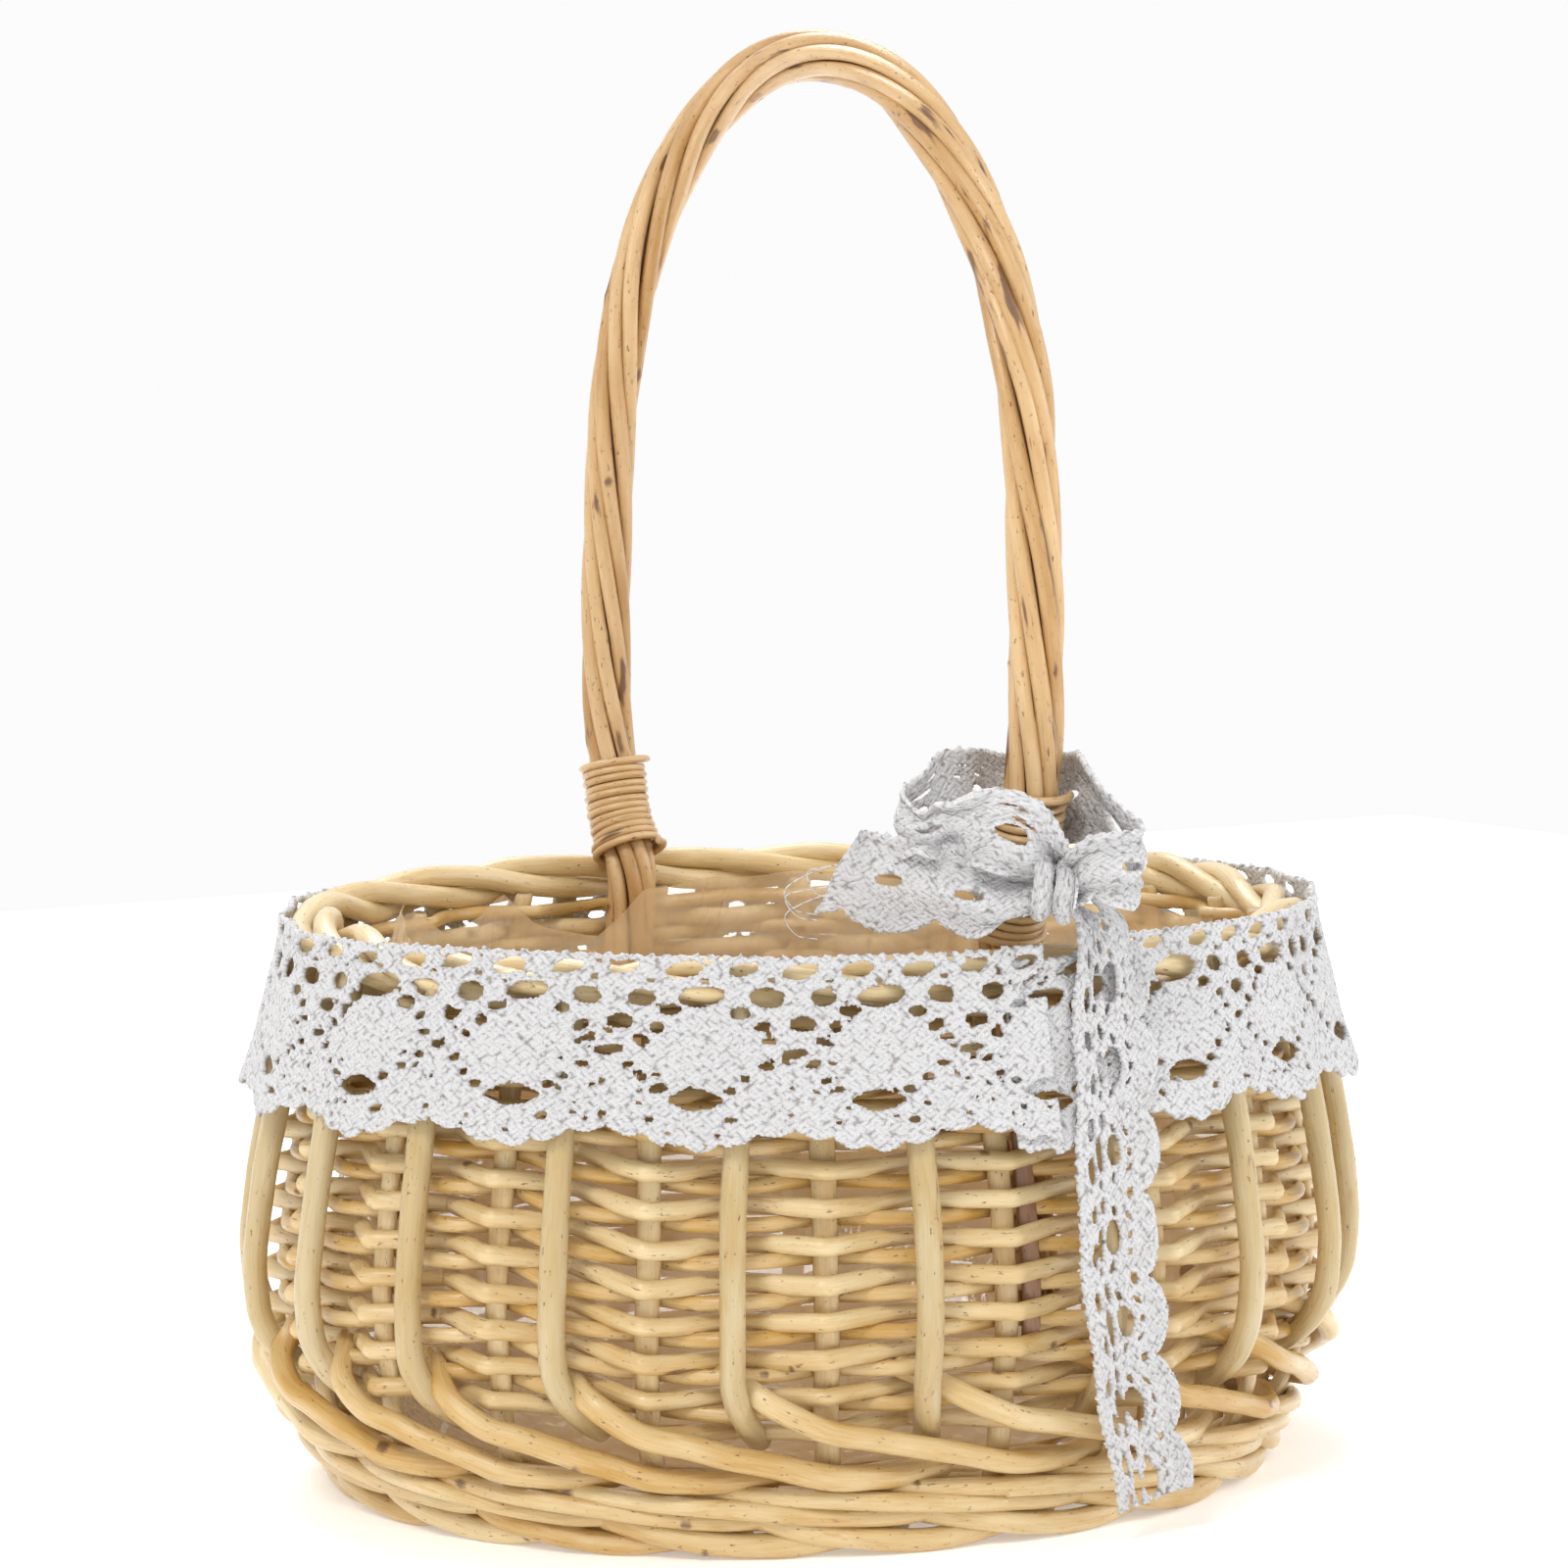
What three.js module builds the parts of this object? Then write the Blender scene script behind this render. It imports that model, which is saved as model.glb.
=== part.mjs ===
// Flower girl basket: an oval willow basket with a twisted fixed handle over its short axis, a lace
// band round the rim, a lace bow at the front foot of the handle and a clear film liner.
// Millimetres, +Z up. The origin is on the resting plane, on the basket's own upright axis;
// +X runs along the oval and the bow is on the -Y side.
import * as THREE from "three";

// ---- Driving dimensions -----------------------------------------------------------------------
const HEIGHT = 300; // foot to top of the handle
const BELLY_Z = 50; // height where the basket is widest
const BELLY_R = 124.9; // half length there, outside the stakes
const RIM_Z = 119; // top edge of the lace
const RIM_DROP = 12.6; // how far the half length shrinks from the belly to the rim
const RIM_POWER = 1.3;
const FOOT_DROP = 24; // and from the belly to the ground
const FOOT_POWER = 2.3;
const AXIS_GAP = 24; // half length minus half width, above the wales
const FOOT_AXIS_GAP = 13; // the same at the ground, where the oval is rounder
const AXIS_GAP_Z = 30; // height from which AXIS_GAP holds
const CLEAR = 0.3; // gap between touching pieces

const STAKE_COUNT = 20; // outer stakes
const STAKE_R = 2.65;
const STAKE_FAN = THREE.MathUtils.degToRad(2.6); // crowds the stakes towards the two ends
const STAKE_TURN = THREE.MathUtils.degToRad(3.35); // the first stake stands this far past the front
const STAKE_LOW_Z = 31.5;
const STAKE_HIGH_Z = 110.5;

const WALL_LOW_Z = 31;
const WALL_SPLIT_Z = 71; // the woven wall is two bands of rows, one on the other
const WALL_HIGH_Z = 111.5;
const WALL_T = 7.5; // woven wall, over both faces of the randing

const FOOT_ROD_R = 2.4;
const FOOT_RING_RADII = [94.4, 99.6];
const LOWER_WALE_R = 1.9;
const LOWER_WALE_Z = [7.9, 12.3];
const UPPER_WALE_R = 2.3;
const UPPER_WALE_Z = [17.1, 22.2, 27.4];
const BORDER_R = 2.3;
const BORDER_LOW_Z = 114.4; // the two strands side by side; the third lies on them

const PLATE_Z = 5.4;
const PLATE_T = 4;
const PLATE_R = 98;
const STICK_R = 1.9;
const CROSS_STICK_COUNT = 4;
const CROSS_STICK_PITCH = 30;
const CROSS_STICK_HALF = 60;
const LONG_STICK_COUNT = 2;
const LONG_STICK_PITCH = 12;
const LONG_STICK_HALF = 88;

const HANDLE_ROD_COUNT = 7;
const HANDLE_LAY_R = 3.85; // from the handle's centre line to a rod's
const HANDLE_ROD_R = 1.5;
const HANDLE_CORE_R = 2.0;
const HANDLE_TWIST_PITCH = 155; // length of handle in which a rod goes once round
const HANDLE_END_Z = 45; // rods are pushed down inside the wall to here
const HANDLE_WALL_Z = [HANDLE_END_Z, 80, 104]; // heights where a leg lies along the wall's inside
const HANDLE_EXIT_Z = 117; // where it clears the border
const HANDLE_SHOULDER_Z = 200; // the arch springs from here
const HANDLE_SHOULDER_Y = 80;
const HANDLE_LEG = [[-4, 131], [0, 150], [1, 175], [0, HANDLE_SHOULDER_Z]]; // [out from the shoulder, height]
const HANDLE_ARCH_STEPS = 10;
const HANDLE_TOP_Z = HEIGHT - HANDLE_LAY_R - HANDLE_ROD_R;
const HANDLE_STEPS = 40; // straight lengths along a rod
const BINDING_LOW_Z = 124.2;
const BINDING_TURNS = 8;
const BINDING_PITCH = 2.3;
const BINDING_R = 0.95;

const LACE_T = 1.2;
const LACE_STAND_OFF = 0.9; // from the stakes to the lace
const LACE_LOW_Z = 84;
const LACE_BEND_Z = [96, 108]; // heights between its edges where the lace follows the wall
const LINER_T = 0.8;
const LINER_GAP = 1 + 2 * CLEAR; // from the wall to the film
const LINER_TOP_Z = 116;
const LINER_SIDE_Z = [44, 62, 80, 98];
const LINER_FLOOR_Z = 14.4;
const LINER_FLOOR_R = 88;
const LINER_CORNER_R = 101; // at the foot of the wall
const LINER_DENT_LOW_Z = 30; // the dent begins here and is whole a little below the rods' ends
const LINER_DENT_WHOLE_Z = HANDLE_END_Z - 2;
const LINER_DENT = 13.5; // how far the film is pushed in where it passes the handle's rods
const LINER_DENT_WIDTH = THREE.MathUtils.degToRad(13);

const WRAP_Z = 131; // the bow is tied round the handle here
const WRAP_HALF = 5;
const WRAP_GAP = 1; // from the binding to the wrap
const TAIL_WIDTH = 24;
const TAIL_X = 5;
// Down the tail: height, and how far it leans out.
const TAIL_LINE = [[121, 3], [108, 0.8], [LACE_LOW_Z, 0], [68, 0], [BELLY_Z, 0], [28, 0], [6, 0]];
// Soft folds of the bow: centre, half sizes and tilt about Y.
const BOW_FOLDS = {
  bow_knot: { centre: [-2, -96.5, 131], half: [8, 6.5, 7.5], tilt: 0 },
  bow_loop_left: { centre: [-35, -92.5, 131.5], half: [22, 6, 10], tilt: -0.08 },
  bow_loop_upper: { centre: [-22, -92, 149], half: [15, 6, 6.5], tilt: 0.25 },
  bow_loop_back: { centre: [17, -80, 143], half: [8, 6, 9], tilt: 0 },
  bow_loop_right: { centre: [15.5, -95, 131], half: [7.5, 6, 8.5], tilt: 0 },
};

const RING_SEGMENTS = 40; // round the oval
const LINER_SEGMENTS = 56;
const WRAP_SEGMENTS = 16;
const ROD_SIDES = 5;
const STAKE_SIDES = 6;
const FOOT_SIDES = 6; // a hexagon, one flat side on the ground
const STICK_SIDES = 8;
const STAKE_POINTS = 4;
const SPIRAL_POINTS = 60;

// ---- Materials --------------------------------------------------------------------------------
const willow = new THREE.MeshStandardMaterial({ color: 0xe9cf94, roughness: 0.45, metalness: 0 });
const handleWillow = new THREE.MeshStandardMaterial({ color: 0xcf9f62, roughness: 0.5, metalness: 0 });
const cotton = new THREE.MeshStandardMaterial({ color: 0xe4e4ea, roughness: 0.95, metalness: 0 });
const film = new THREE.MeshStandardMaterial({
  color: 0xe6d8cc, roughness: 0.2, metalness: 0, transparent: true, opacity: 0.35,
});

// ---- The oval ---------------------------------------------------------------------------------
// Half length of the basket's outside, over the stakes and rods, at a height.
function outerRadius(z) {
  if (z > BELLY_Z) return BELLY_R - RIM_DROP * ((z - BELLY_Z) / (RIM_Z - BELLY_Z)) ** RIM_POWER;
  return BELLY_R - FOOT_DROP * ((BELLY_Z - z) / BELLY_Z) ** FOOT_POWER;
}

function axisGap(z) {
  const below = Math.max(0, 1 - z / AXIS_GAP_Z);
  return AXIS_GAP - (AXIS_GAP - FOOT_AXIS_GAP) * below ** 2;
}

// Point of the oval whose half length is radius, at an angle from +X and a height.
function ovalPoint(radius, angle, z) {
  return new THREE.Vector3(radius * Math.cos(angle), (radius - axisGap(z)) * Math.sin(angle), z);
}

// Turns a round solid about Z into an oval one: each point keeps its angle and height.
function makeOval(geometry, dent = () => 0) {
  const position = geometry.getAttribute("position");
  for (let i = 0; i < position.count; i++) {
    const x = position.getX(i);
    const y = position.getY(i);
    const z = position.getZ(i);
    const radius = Math.hypot(x, y);
    if (radius < 1e-6) continue;
    const angle = Math.atan2(y, x);
    const share = Math.min(1, radius / FOOT_RING_RADII[0]);
    const moved = ovalPoint(radius - dent(angle, z), angle, z);
    position.setX(i, moved.x);
    position.setY(i, y * (1 - share) + moved.y * share);
  }
  return geometry;
}

// ---- Building blocks --------------------------------------------------------------------------
function named(name, geometry, material) {
  const mesh = new THREE.Mesh(geometry, material);
  mesh.name = name;
  return mesh;
}

// Revolves a closed or axis-to-axis profile of [radius, z] pairs about Z.
function revolve(profile, segments = RING_SEGMENTS) {
  const points = profile.map(([radius, z]) => new THREE.Vector2(radius, z));
  return new THREE.LatheGeometry(points, segments).rotateX(Math.PI / 2);
}

// A rod bent into a ring: a polygon with a flat side down, revolved.
function ringOfRod(radius, z, rodRadius, sides = ROD_SIDES) {
  const profile = [];
  for (let i = 0; i <= sides; i++) {
    const angle = -Math.PI / 2 - Math.PI / sides + ((i % sides) * 2 * Math.PI) / sides;
    profile.push([radius + rodRadius * Math.cos(angle), z + rodRadius * Math.sin(angle)]);
  }
  return makeOval(revolve(profile));
}

function roundSection(radius, sides = ROD_SIDES) {
  const section = new THREE.Shape();
  for (let i = 0; i < sides; i++) {
    const angle = (i * 2 * Math.PI) / sides;
    const point = [radius * Math.cos(angle), radius * Math.sin(angle)];
    if (i) section.lineTo(...point);
    else section.moveTo(...point);
  }
  section.closePath();
  return section;
}

function rodAlong(curve, radius, steps, sides = ROD_SIDES) {
  return new THREE.ExtrudeGeometry(roundSection(radius, sides), {
    steps, extrudePath: curve, bevelEnabled: false,
  });
}

// ---- Base -------------------------------------------------------------------------------------
function baseParts() {
  const parts = [];
  const plate = [[0, PLATE_Z], [PLATE_R, PLATE_Z], [PLATE_R, PLATE_Z + PLATE_T], [0, PLATE_Z + PLATE_T]];
  parts.push(named("base_weave", makeOval(revolve(plate)), willow));
  for (let i = 0; i < CROSS_STICK_COUNT; i++) {
    const x = (i - (CROSS_STICK_COUNT - 1) / 2) * CROSS_STICK_PITCH;
    const z = PLATE_Z - CLEAR - STICK_R;
    const path = new THREE.LineCurve3(
      new THREE.Vector3(x, -CROSS_STICK_HALF, z), new THREE.Vector3(x, CROSS_STICK_HALF, z));
    parts.push(named(`base_cross_stick_${i + 1}`, rodAlong(path, STICK_R, 1, STICK_SIDES), willow));
  }
  for (let i = 0; i < LONG_STICK_COUNT; i++) {
    const y = (i - (LONG_STICK_COUNT - 1) / 2) * LONG_STICK_PITCH;
    const z = PLATE_Z + PLATE_T + CLEAR + STICK_R;
    const path = new THREE.LineCurve3(
      new THREE.Vector3(-LONG_STICK_HALF, y, z), new THREE.Vector3(LONG_STICK_HALF, y, z));
    parts.push(named(`base_long_stick_${i + 1}`, rodAlong(path, STICK_R, 1, STICK_SIDES), willow));
  }
  return parts;
}

function footAndWales() {
  const parts = [];
  const flatFootZ = FOOT_ROD_R * Math.cos(Math.PI / FOOT_SIDES);
  FOOT_RING_RADII.forEach((radius, i) => {
    parts.push(named(`foot_border_${i + 1}`, ringOfRod(radius, flatFootZ, FOOT_ROD_R, FOOT_SIDES), willow));
  });
  LOWER_WALE_Z.forEach((z, i) => {
    const radius = outerRadius(z) - LOWER_WALE_R;
    parts.push(named(`lower_wale_${i + 1}`, ringOfRod(radius, z, LOWER_WALE_R), willow));
  });
  UPPER_WALE_Z.forEach((z, i) => {
    const radius = outerRadius(z) - UPPER_WALE_R;
    parts.push(named(`upper_wale_${i + 1}`, ringOfRod(radius, z, UPPER_WALE_R), willow));
  });
  return parts;
}

// ---- Wall, stakes and border ------------------------------------------------------------------
function wallRadius(z) {
  return outerRadius(z) - 2 * STAKE_R - CLEAR;
}

function wallBand(name, low, high) {
  const heights = [low, (low + high) / 2, high];
  const outside = heights.map((z) => [wallRadius(z), z]);
  const inside = heights.map((z) => [wallRadius(z) - WALL_T, z]).reverse();
  return named(name, makeOval(revolve([...outside, ...inside, outside[0]])), willow);
}

function sideWeave() {
  return [
    wallBand("side_weave_lower", WALL_LOW_Z, WALL_SPLIT_Z),
    wallBand("side_weave_upper", WALL_SPLIT_Z + CLEAR, WALL_HIGH_Z),
  ];
}

function stakeAngle(index) {
  const turn = (index * 2 * Math.PI) / STAKE_COUNT;
  return -Math.PI / 2 + STAKE_TURN + turn + STAKE_FAN * Math.sin(2 * turn);
}

function outerStakes() {
  const parts = [];
  for (let i = 0; i < STAKE_COUNT; i++) {
    const points = [];
    for (let k = 0; k <= STAKE_POINTS; k++) {
      const z = THREE.MathUtils.lerp(STAKE_LOW_Z, STAKE_HIGH_Z, k / STAKE_POINTS);
      points.push(ovalPoint(outerRadius(z) - STAKE_R, stakeAngle(i), z));
    }
    const path = new THREE.CatmullRomCurve3(points);
    const name = `outer_stake_${String(i + 1).padStart(2, "0")}`;
    parts.push(named(name, rodAlong(path, STAKE_R, STAKE_POINTS, STAKE_SIDES), willow));
  }
  return parts;
}

function topBorder() {
  const step = 2 * BORDER_R + CLEAR;
  const outer = outerRadius(BORDER_LOW_Z) - BORDER_R;
  const strands = [
    [outer, BORDER_LOW_Z],
    [outer - step, BORDER_LOW_Z],
    [outer - step / 2, BORDER_LOW_Z + step * Math.cos(Math.PI / 6)],
  ];
  return strands.map(([radius, z], i) =>
    named(`top_border_${i + 1}`, ringOfRod(radius, z, BORDER_R), willow));
}

// ---- Handle -----------------------------------------------------------------------------------
// Half of the centre line in the plane x = 0, from the end inside the wall up to the shoulder.
function legPoints() {
  const insideWall = (z) => wallRadius(z) - WALL_T - AXIS_GAP - HANDLE_LAY_R - HANDLE_ROD_R - 4 * CLEAR;
  return [
    ...HANDLE_WALL_Z.map((z) => [insideWall(z), z]),
    [insideWall(WALL_HIGH_Z), HANDLE_EXIT_Z],
    ...HANDLE_LEG.map(([out, z]) => [HANDLE_SHOULDER_Y + out, z]),
  ];
}

function handleCurve() {
  const legs = legPoints();
  const points = legs.map(([y, z]) => new THREE.Vector3(0, y, z));
  for (let i = 1; i < HANDLE_ARCH_STEPS; i++) {
    const angle = (i * Math.PI) / HANDLE_ARCH_STEPS;
    const rise = (HANDLE_TOP_Z - HANDLE_SHOULDER_Z) * Math.sin(angle);
    points.push(new THREE.Vector3(0, HANDLE_SHOULDER_Y * Math.cos(angle), HANDLE_SHOULDER_Z + rise));
  }
  legs.reverse().forEach(([y, z]) => points.push(new THREE.Vector3(0, -y, z)));
  return new THREE.CatmullRomCurve3(points, false, "centripetal");
}

const handleLine = handleCurve();
const handleLength = handleLine.getLength();

// Point beside the handle's centre line: at a share of its length, a distance off and an angle round.
function besideHandle(share, distance, angle) {
  const centre = handleLine.getPointAt(share);
  const along = handleLine.getTangentAt(share);
  const across = new THREE.Vector3(1, 0, 0);
  const out = new THREE.Vector3().crossVectors(along, across);
  return centre
    .addScaledVector(across, distance * Math.cos(angle))
    .addScaledVector(out, distance * Math.sin(angle));
}

function spiralOnHandle(from, to, turns, distance, phase, pointCount) {
  const points = [];
  for (let i = 0; i <= pointCount; i++) {
    const share = THREE.MathUtils.lerp(from, to, i / pointCount);
    points.push(besideHandle(share, distance, phase + (turns * 2 * Math.PI * i) / pointCount));
  }
  return new THREE.CatmullRomCurve3(points);
}

// Share of the handle's length at which its front or back leg reaches a height.
function shareAtHeight(height, frontLeg) {
  let low = 0;
  let high = 0.5;
  while (high - low > 1e-6) {
    const middle = (low + high) / 2;
    if (handleLine.getPointAt(middle).z < height) low = middle;
    else high = middle;
  }
  return frontLeg ? 1 - low : low;
}

function handleParts() {
  const parts = [named("handle_core", rodAlong(handleLine, HANDLE_CORE_R, HANDLE_STEPS), handleWillow)];
  const turns = -handleLength / HANDLE_TWIST_PITCH; // less than 0: the rods lean to the left going up
  for (let i = 0; i < HANDLE_ROD_COUNT; i++) {
    const phase = (i * 2 * Math.PI) / HANDLE_ROD_COUNT;
    const path = spiralOnHandle(0, 1, turns, HANDLE_LAY_R, phase, SPIRAL_POINTS);
    parts.push(named(`handle_rod_${i + 1}`, rodAlong(path, HANDLE_ROD_R, HANDLE_STEPS), handleWillow));
  }
  const distance = HANDLE_LAY_R + HANDLE_ROD_R + CLEAR + BINDING_R;
  const height = BINDING_TURNS * BINDING_PITCH;
  for (const [name, frontLeg] of [["front", true], ["back", false]]) {
    const from = shareAtHeight(BINDING_LOW_Z, frontLeg);
    const to = shareAtHeight(BINDING_LOW_Z + height, frontLeg);
    const path = spiralOnHandle(from, to, BINDING_TURNS, distance, 0, BINDING_TURNS * 12);
    const geometry = rodAlong(path, BINDING_R, BINDING_TURNS * 11);
    parts.push(named(`handle_binding_${name}`, geometry, handleWillow));
  }
  return parts;
}

// ---- Lace and liner ---------------------------------------------------------------------------
function laceTrim() {
  const heights = [LACE_LOW_Z, ...LACE_BEND_Z, RIM_Z];
  const inside = (z) => outerRadius(z) + LACE_STAND_OFF;
  const outer = heights.map((z) => [inside(z) + LACE_T, z]);
  const inner = heights.map((z) => [inside(z), z]).reverse();
  return named("lace_trim", makeOval(revolve([...outer, ...inner, outer[0]])), cotton);
}

function liner() {
  const besideWall = (z) => wallRadius(z) - WALL_T - LINER_GAP;
  const side = [[LINER_FLOOR_R, LINER_FLOOR_Z], [LINER_CORNER_R, WALL_LOW_Z]];
  for (const z of LINER_SIDE_Z) side.push([besideWall(z), z]);
  side.push([besideWall(WALL_HIGH_Z), LINER_TOP_Z]);
  const inner = side.map(([radius, z]) => [radius - LINER_T, z + (z < WALL_LOW_Z ? LINER_T : 0)]);
  const profile = [[0, LINER_FLOOR_Z], ...side, ...inner.reverse(), [0, LINER_FLOOR_Z + LINER_T]];
  const dent = (angle, z) => {
    const reach = THREE.MathUtils.smoothstep(z, LINER_DENT_LOW_Z, LINER_DENT_WHOLE_Z);
    const off = (Math.abs(Math.abs(angle) - Math.PI / 2)) / LINER_DENT_WIDTH;
    return reach * LINER_DENT * Math.exp(-(off ** 4));
  };
  return named("liner", makeOval(revolve(profile, LINER_SEGMENTS), dent), film);
}

// ---- Bow --------------------------------------------------------------------------------------
function softFold(name, { centre, half, tilt }) {
  const geometry = new THREE.SphereGeometry(1, 12, 8).scale(...half);
  const mesh = named(name, geometry, cotton);
  mesh.position.set(...centre);
  mesh.rotation.y = tilt;
  return mesh;
}

function bowWrap() {
  const inner = HANDLE_LAY_R + HANDLE_ROD_R + 2 * BINDING_R + 3 * CLEAR + WRAP_GAP;
  const outer = inner + LACE_T;
  const profile = [
    [inner, -WRAP_HALF], [outer, -WRAP_HALF], [outer, WRAP_HALF], [inner, WRAP_HALF], [inner, -WRAP_HALF],
  ];
  const mesh = named("bow_wrap", revolve(profile, WRAP_SEGMENTS), cotton);
  const foot = handleLine.getPointAt(shareAtHeight(WRAP_Z, true));
  const along = handleLine.getTangentAt(shareAtHeight(WRAP_Z, true));
  mesh.position.copy(foot);
  mesh.quaternion.setFromUnitVectors(new THREE.Vector3(0, 0, -1), along);
  return mesh;
}

function bowTail() {
  const overLace = LACE_STAND_OFF + 2 * LACE_T + 2 * CLEAR;
  const overStakes = LACE_T + 3 * CLEAR;
  const points = [];
  for (const [z, lean] of TAIL_LINE) {
    const radius = outerRadius(Math.max(z, BELLY_Z)) + (z < LACE_LOW_Z ? overStakes : overLace);
    points.push(new THREE.Vector3(TAIL_X, AXIS_GAP - radius - lean, z));
  }
  const front = points.map((p) => new THREE.Vector2(p.y, p.z));
  const back = front.map((p) => new THREE.Vector2(p.x + LACE_T, p.y)).reverse();
  const outline = new THREE.Shape([...front, ...back]);
  const geometry = new THREE.ExtrudeGeometry(outline, { depth: TAIL_WIDTH, bevelEnabled: false });
  // The outline is drawn in (y, z) and extruded along x.
  geometry.applyMatrix4(new THREE.Matrix4().makeBasis(
    new THREE.Vector3(0, 1, 0), new THREE.Vector3(0, 0, 1), new THREE.Vector3(1, 0, 0)));
  geometry.translate(TAIL_X - TAIL_WIDTH / 2, 0, 0);
  return named("bow_tail", geometry, cotton);
}

function bowParts() {
  const folds = Object.entries(BOW_FOLDS).map(([name, fold]) => softFold(name, fold));
  return [bowWrap(), bowTail(), ...folds];
}

// ---- The basket -------------------------------------------------------------------------------
const basket = new THREE.Group();
basket.add(
  ...baseParts(),
  ...footAndWales(),
  ...sideWeave(),
  ...outerStakes(),
  ...topBorder(),
  ...handleParts(),
  laceTrim(),
  liner(),
  ...bowParts(),
);

export default basket;
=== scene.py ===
"""Looks of the flower girl basket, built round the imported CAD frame.

Lengths are in millimetres until make_mesh() turns them into metres. The basket stands on z = 0, its
oval runs along X and the bow is on the -Y side. A place on the oval is a "position": 0 is the outer
stake at the front foot of the handle, whole numbers are the outer stakes and halves are the inner
stakes that show between them, counted anticlockwise from above.
"""
import math

import bpy
import numpy as np
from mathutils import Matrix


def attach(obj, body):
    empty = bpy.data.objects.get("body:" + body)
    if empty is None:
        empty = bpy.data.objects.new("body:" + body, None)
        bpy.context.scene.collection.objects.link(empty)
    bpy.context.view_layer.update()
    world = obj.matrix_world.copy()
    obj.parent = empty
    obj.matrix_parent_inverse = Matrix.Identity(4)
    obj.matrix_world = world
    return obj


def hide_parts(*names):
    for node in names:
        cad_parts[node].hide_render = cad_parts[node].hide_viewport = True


MM = 0.001
TURN = 2 * math.pi

# ---- The CAD's driving dimensions ----
HEIGHT = 300
BELLY_Z, BELLY_R = 50, 124.9
RIM_Z, RIM_DROP, RIM_POWER = 119, 12.6, 1.3
FOOT_DROP, FOOT_POWER = 24, 2.3
AXIS_GAP, FOOT_AXIS_GAP, AXIS_GAP_Z = 24, 13, 30
STAKE_COUNT, STAKE_R = 20, 2.65
STAKE_FAN, STAKE_TURN = math.radians(2.6), math.radians(3.35)
WALL_T, WALL_HIGH_Z = 7.5, 111.5
BORDER_R, BORDER_LOW_Z = 2.3, 114.4
CLEAR = 0.3
HANDLE_ROD_COUNT = 7
HANDLE_LAY_R, HANDLE_ROD_R = 3.85, 1.65
HANDLE_TWIST_PITCH = 155
HANDLE_SHOULDER_Z, HANDLE_SHOULDER_Y = 200, 80
HANDLE_ENVELOPE = HANDLE_LAY_R + 1.5  # from the handle's centre line to its outside, in the CAD
HANDLE_TOP_Z = HEIGHT - HANDLE_ENVELOPE

# ---- Sizes that only the looks use ----
WEAVER_R = 1.85
ROW_PITCH = 3.82
ROW_LOW_Z, ROW_HIGH_Z = 23.8, 111.5
WEAVE_DEPTH = 3.3  # a weaver's centre goes this far out and in of the wall's middle
WALL_MIDDLE = 2 * STAKE_R + WEAVER_R + WEAVE_DEPTH  # in from the basket's outside
INNER_STAKE_R = 2.5
ROUND, FLAT = 1.0, 0.6  # a rod's thickness outwards, as a share of its width
VIEWED = math.radians(33.2)  # the camera stands this far round from the front, and the bow faces it


# ---- The oval ----
def outer_radius(z):
    """Half length of the basket's outside at a height."""
    z = np.asarray(z, float)
    rise = np.clip((z - BELLY_Z) / (RIM_Z - BELLY_Z), 0, None)
    fall = np.clip((BELLY_Z - z) / BELLY_Z, 0, None)
    return BELLY_R - RIM_DROP * rise**RIM_POWER - FOOT_DROP * fall**FOOT_POWER


def axis_gap(z):
    """How much shorter the oval's half width is than its half length at a height."""
    below = np.clip(1 - np.asarray(z, float) / AXIS_GAP_Z, 0, None)
    return AXIS_GAP - (AXIS_GAP - FOOT_AXIS_GAP) * below**2


def oval(radius, angle, z):
    """Points of the oval whose half length is radius."""
    radius, angle, z = np.broadcast_arrays(*(np.asarray(v, float) for v in (radius, angle, z)))
    return np.stack([radius * np.cos(angle), (radius - axis_gap(z)) * np.sin(angle), z], -1)


def place(position):
    """The angle round the oval of a position."""
    turn = np.asarray(position, float) * TURN / STAKE_COUNT
    return -math.pi / 2 + STAKE_TURN + turn + STAKE_FAN * np.sin(2 * turn)


def on_wall(position, inwards, z):
    """Points a distance in from the basket's outside."""
    return oval(outer_radius(z) - inwards, place(position), z)


# ---- Curves ----
def unit(v):
    """The same directions, each 1 long."""
    return v / np.maximum(np.linalg.norm(v, axis=-1, keepdims=True), 1e-9)


def smooth(low, high, x):
    """0 at low and 1 at high, with a soft start and end. low may be the greater."""
    t = np.clip((np.asarray(x, float) - low) / (high - low), 0, 1)
    return t * t * (3 - 2 * t)


def wander(t, amount, cycles, rng):
    """A smooth random wave; t goes from 0 to 1 along the piece."""
    harmonics = (1, 1.7, 2.9)
    highest = 1.9  # about the most that the waves add up to
    total = 0
    for harmonic in harmonics:
        total = total + np.sin(TURN * (cycles * harmonic * np.asarray(t) + rng.random())) / harmonic
    return amount * total / highest


def through(points, count):
    """A smooth curve of count points through the given ones, each of any number of values."""
    p = np.asarray(points, float)
    p = np.vstack([2 * p[0] - p[1], p, 2 * p[-1] - p[-2]])
    t = np.linspace(0, len(points) - 1 - 1e-9, count)
    i = t.astype(int)
    u = (t - i)[:, None]
    a, b, c, d = p[i], p[i + 1], p[i + 2], p[i + 3]
    bend, twist = 2 * a - 5 * b + 4 * c - d, 3 * b - a - 3 * c + d  # a Catmull-Rom curve
    return 0.5 * (2 * b + (c - a) * u + bend * u**2 + twist * u**3)


def lengths(path):
    """Distance along a path at each of its points."""
    return np.concatenate([[0], np.cumsum(np.linalg.norm(np.diff(path, axis=0), axis=1))])


def evenly(path, step):
    """The same path with its points a step apart."""
    along = lengths(path)
    count = max(4, int(round(along[-1] / step)) + 1)
    wanted = np.linspace(0, along[-1], count)
    return np.stack([np.interp(wanted, along, path[:, k]) for k in range(path.shape[1])], -1)


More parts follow.
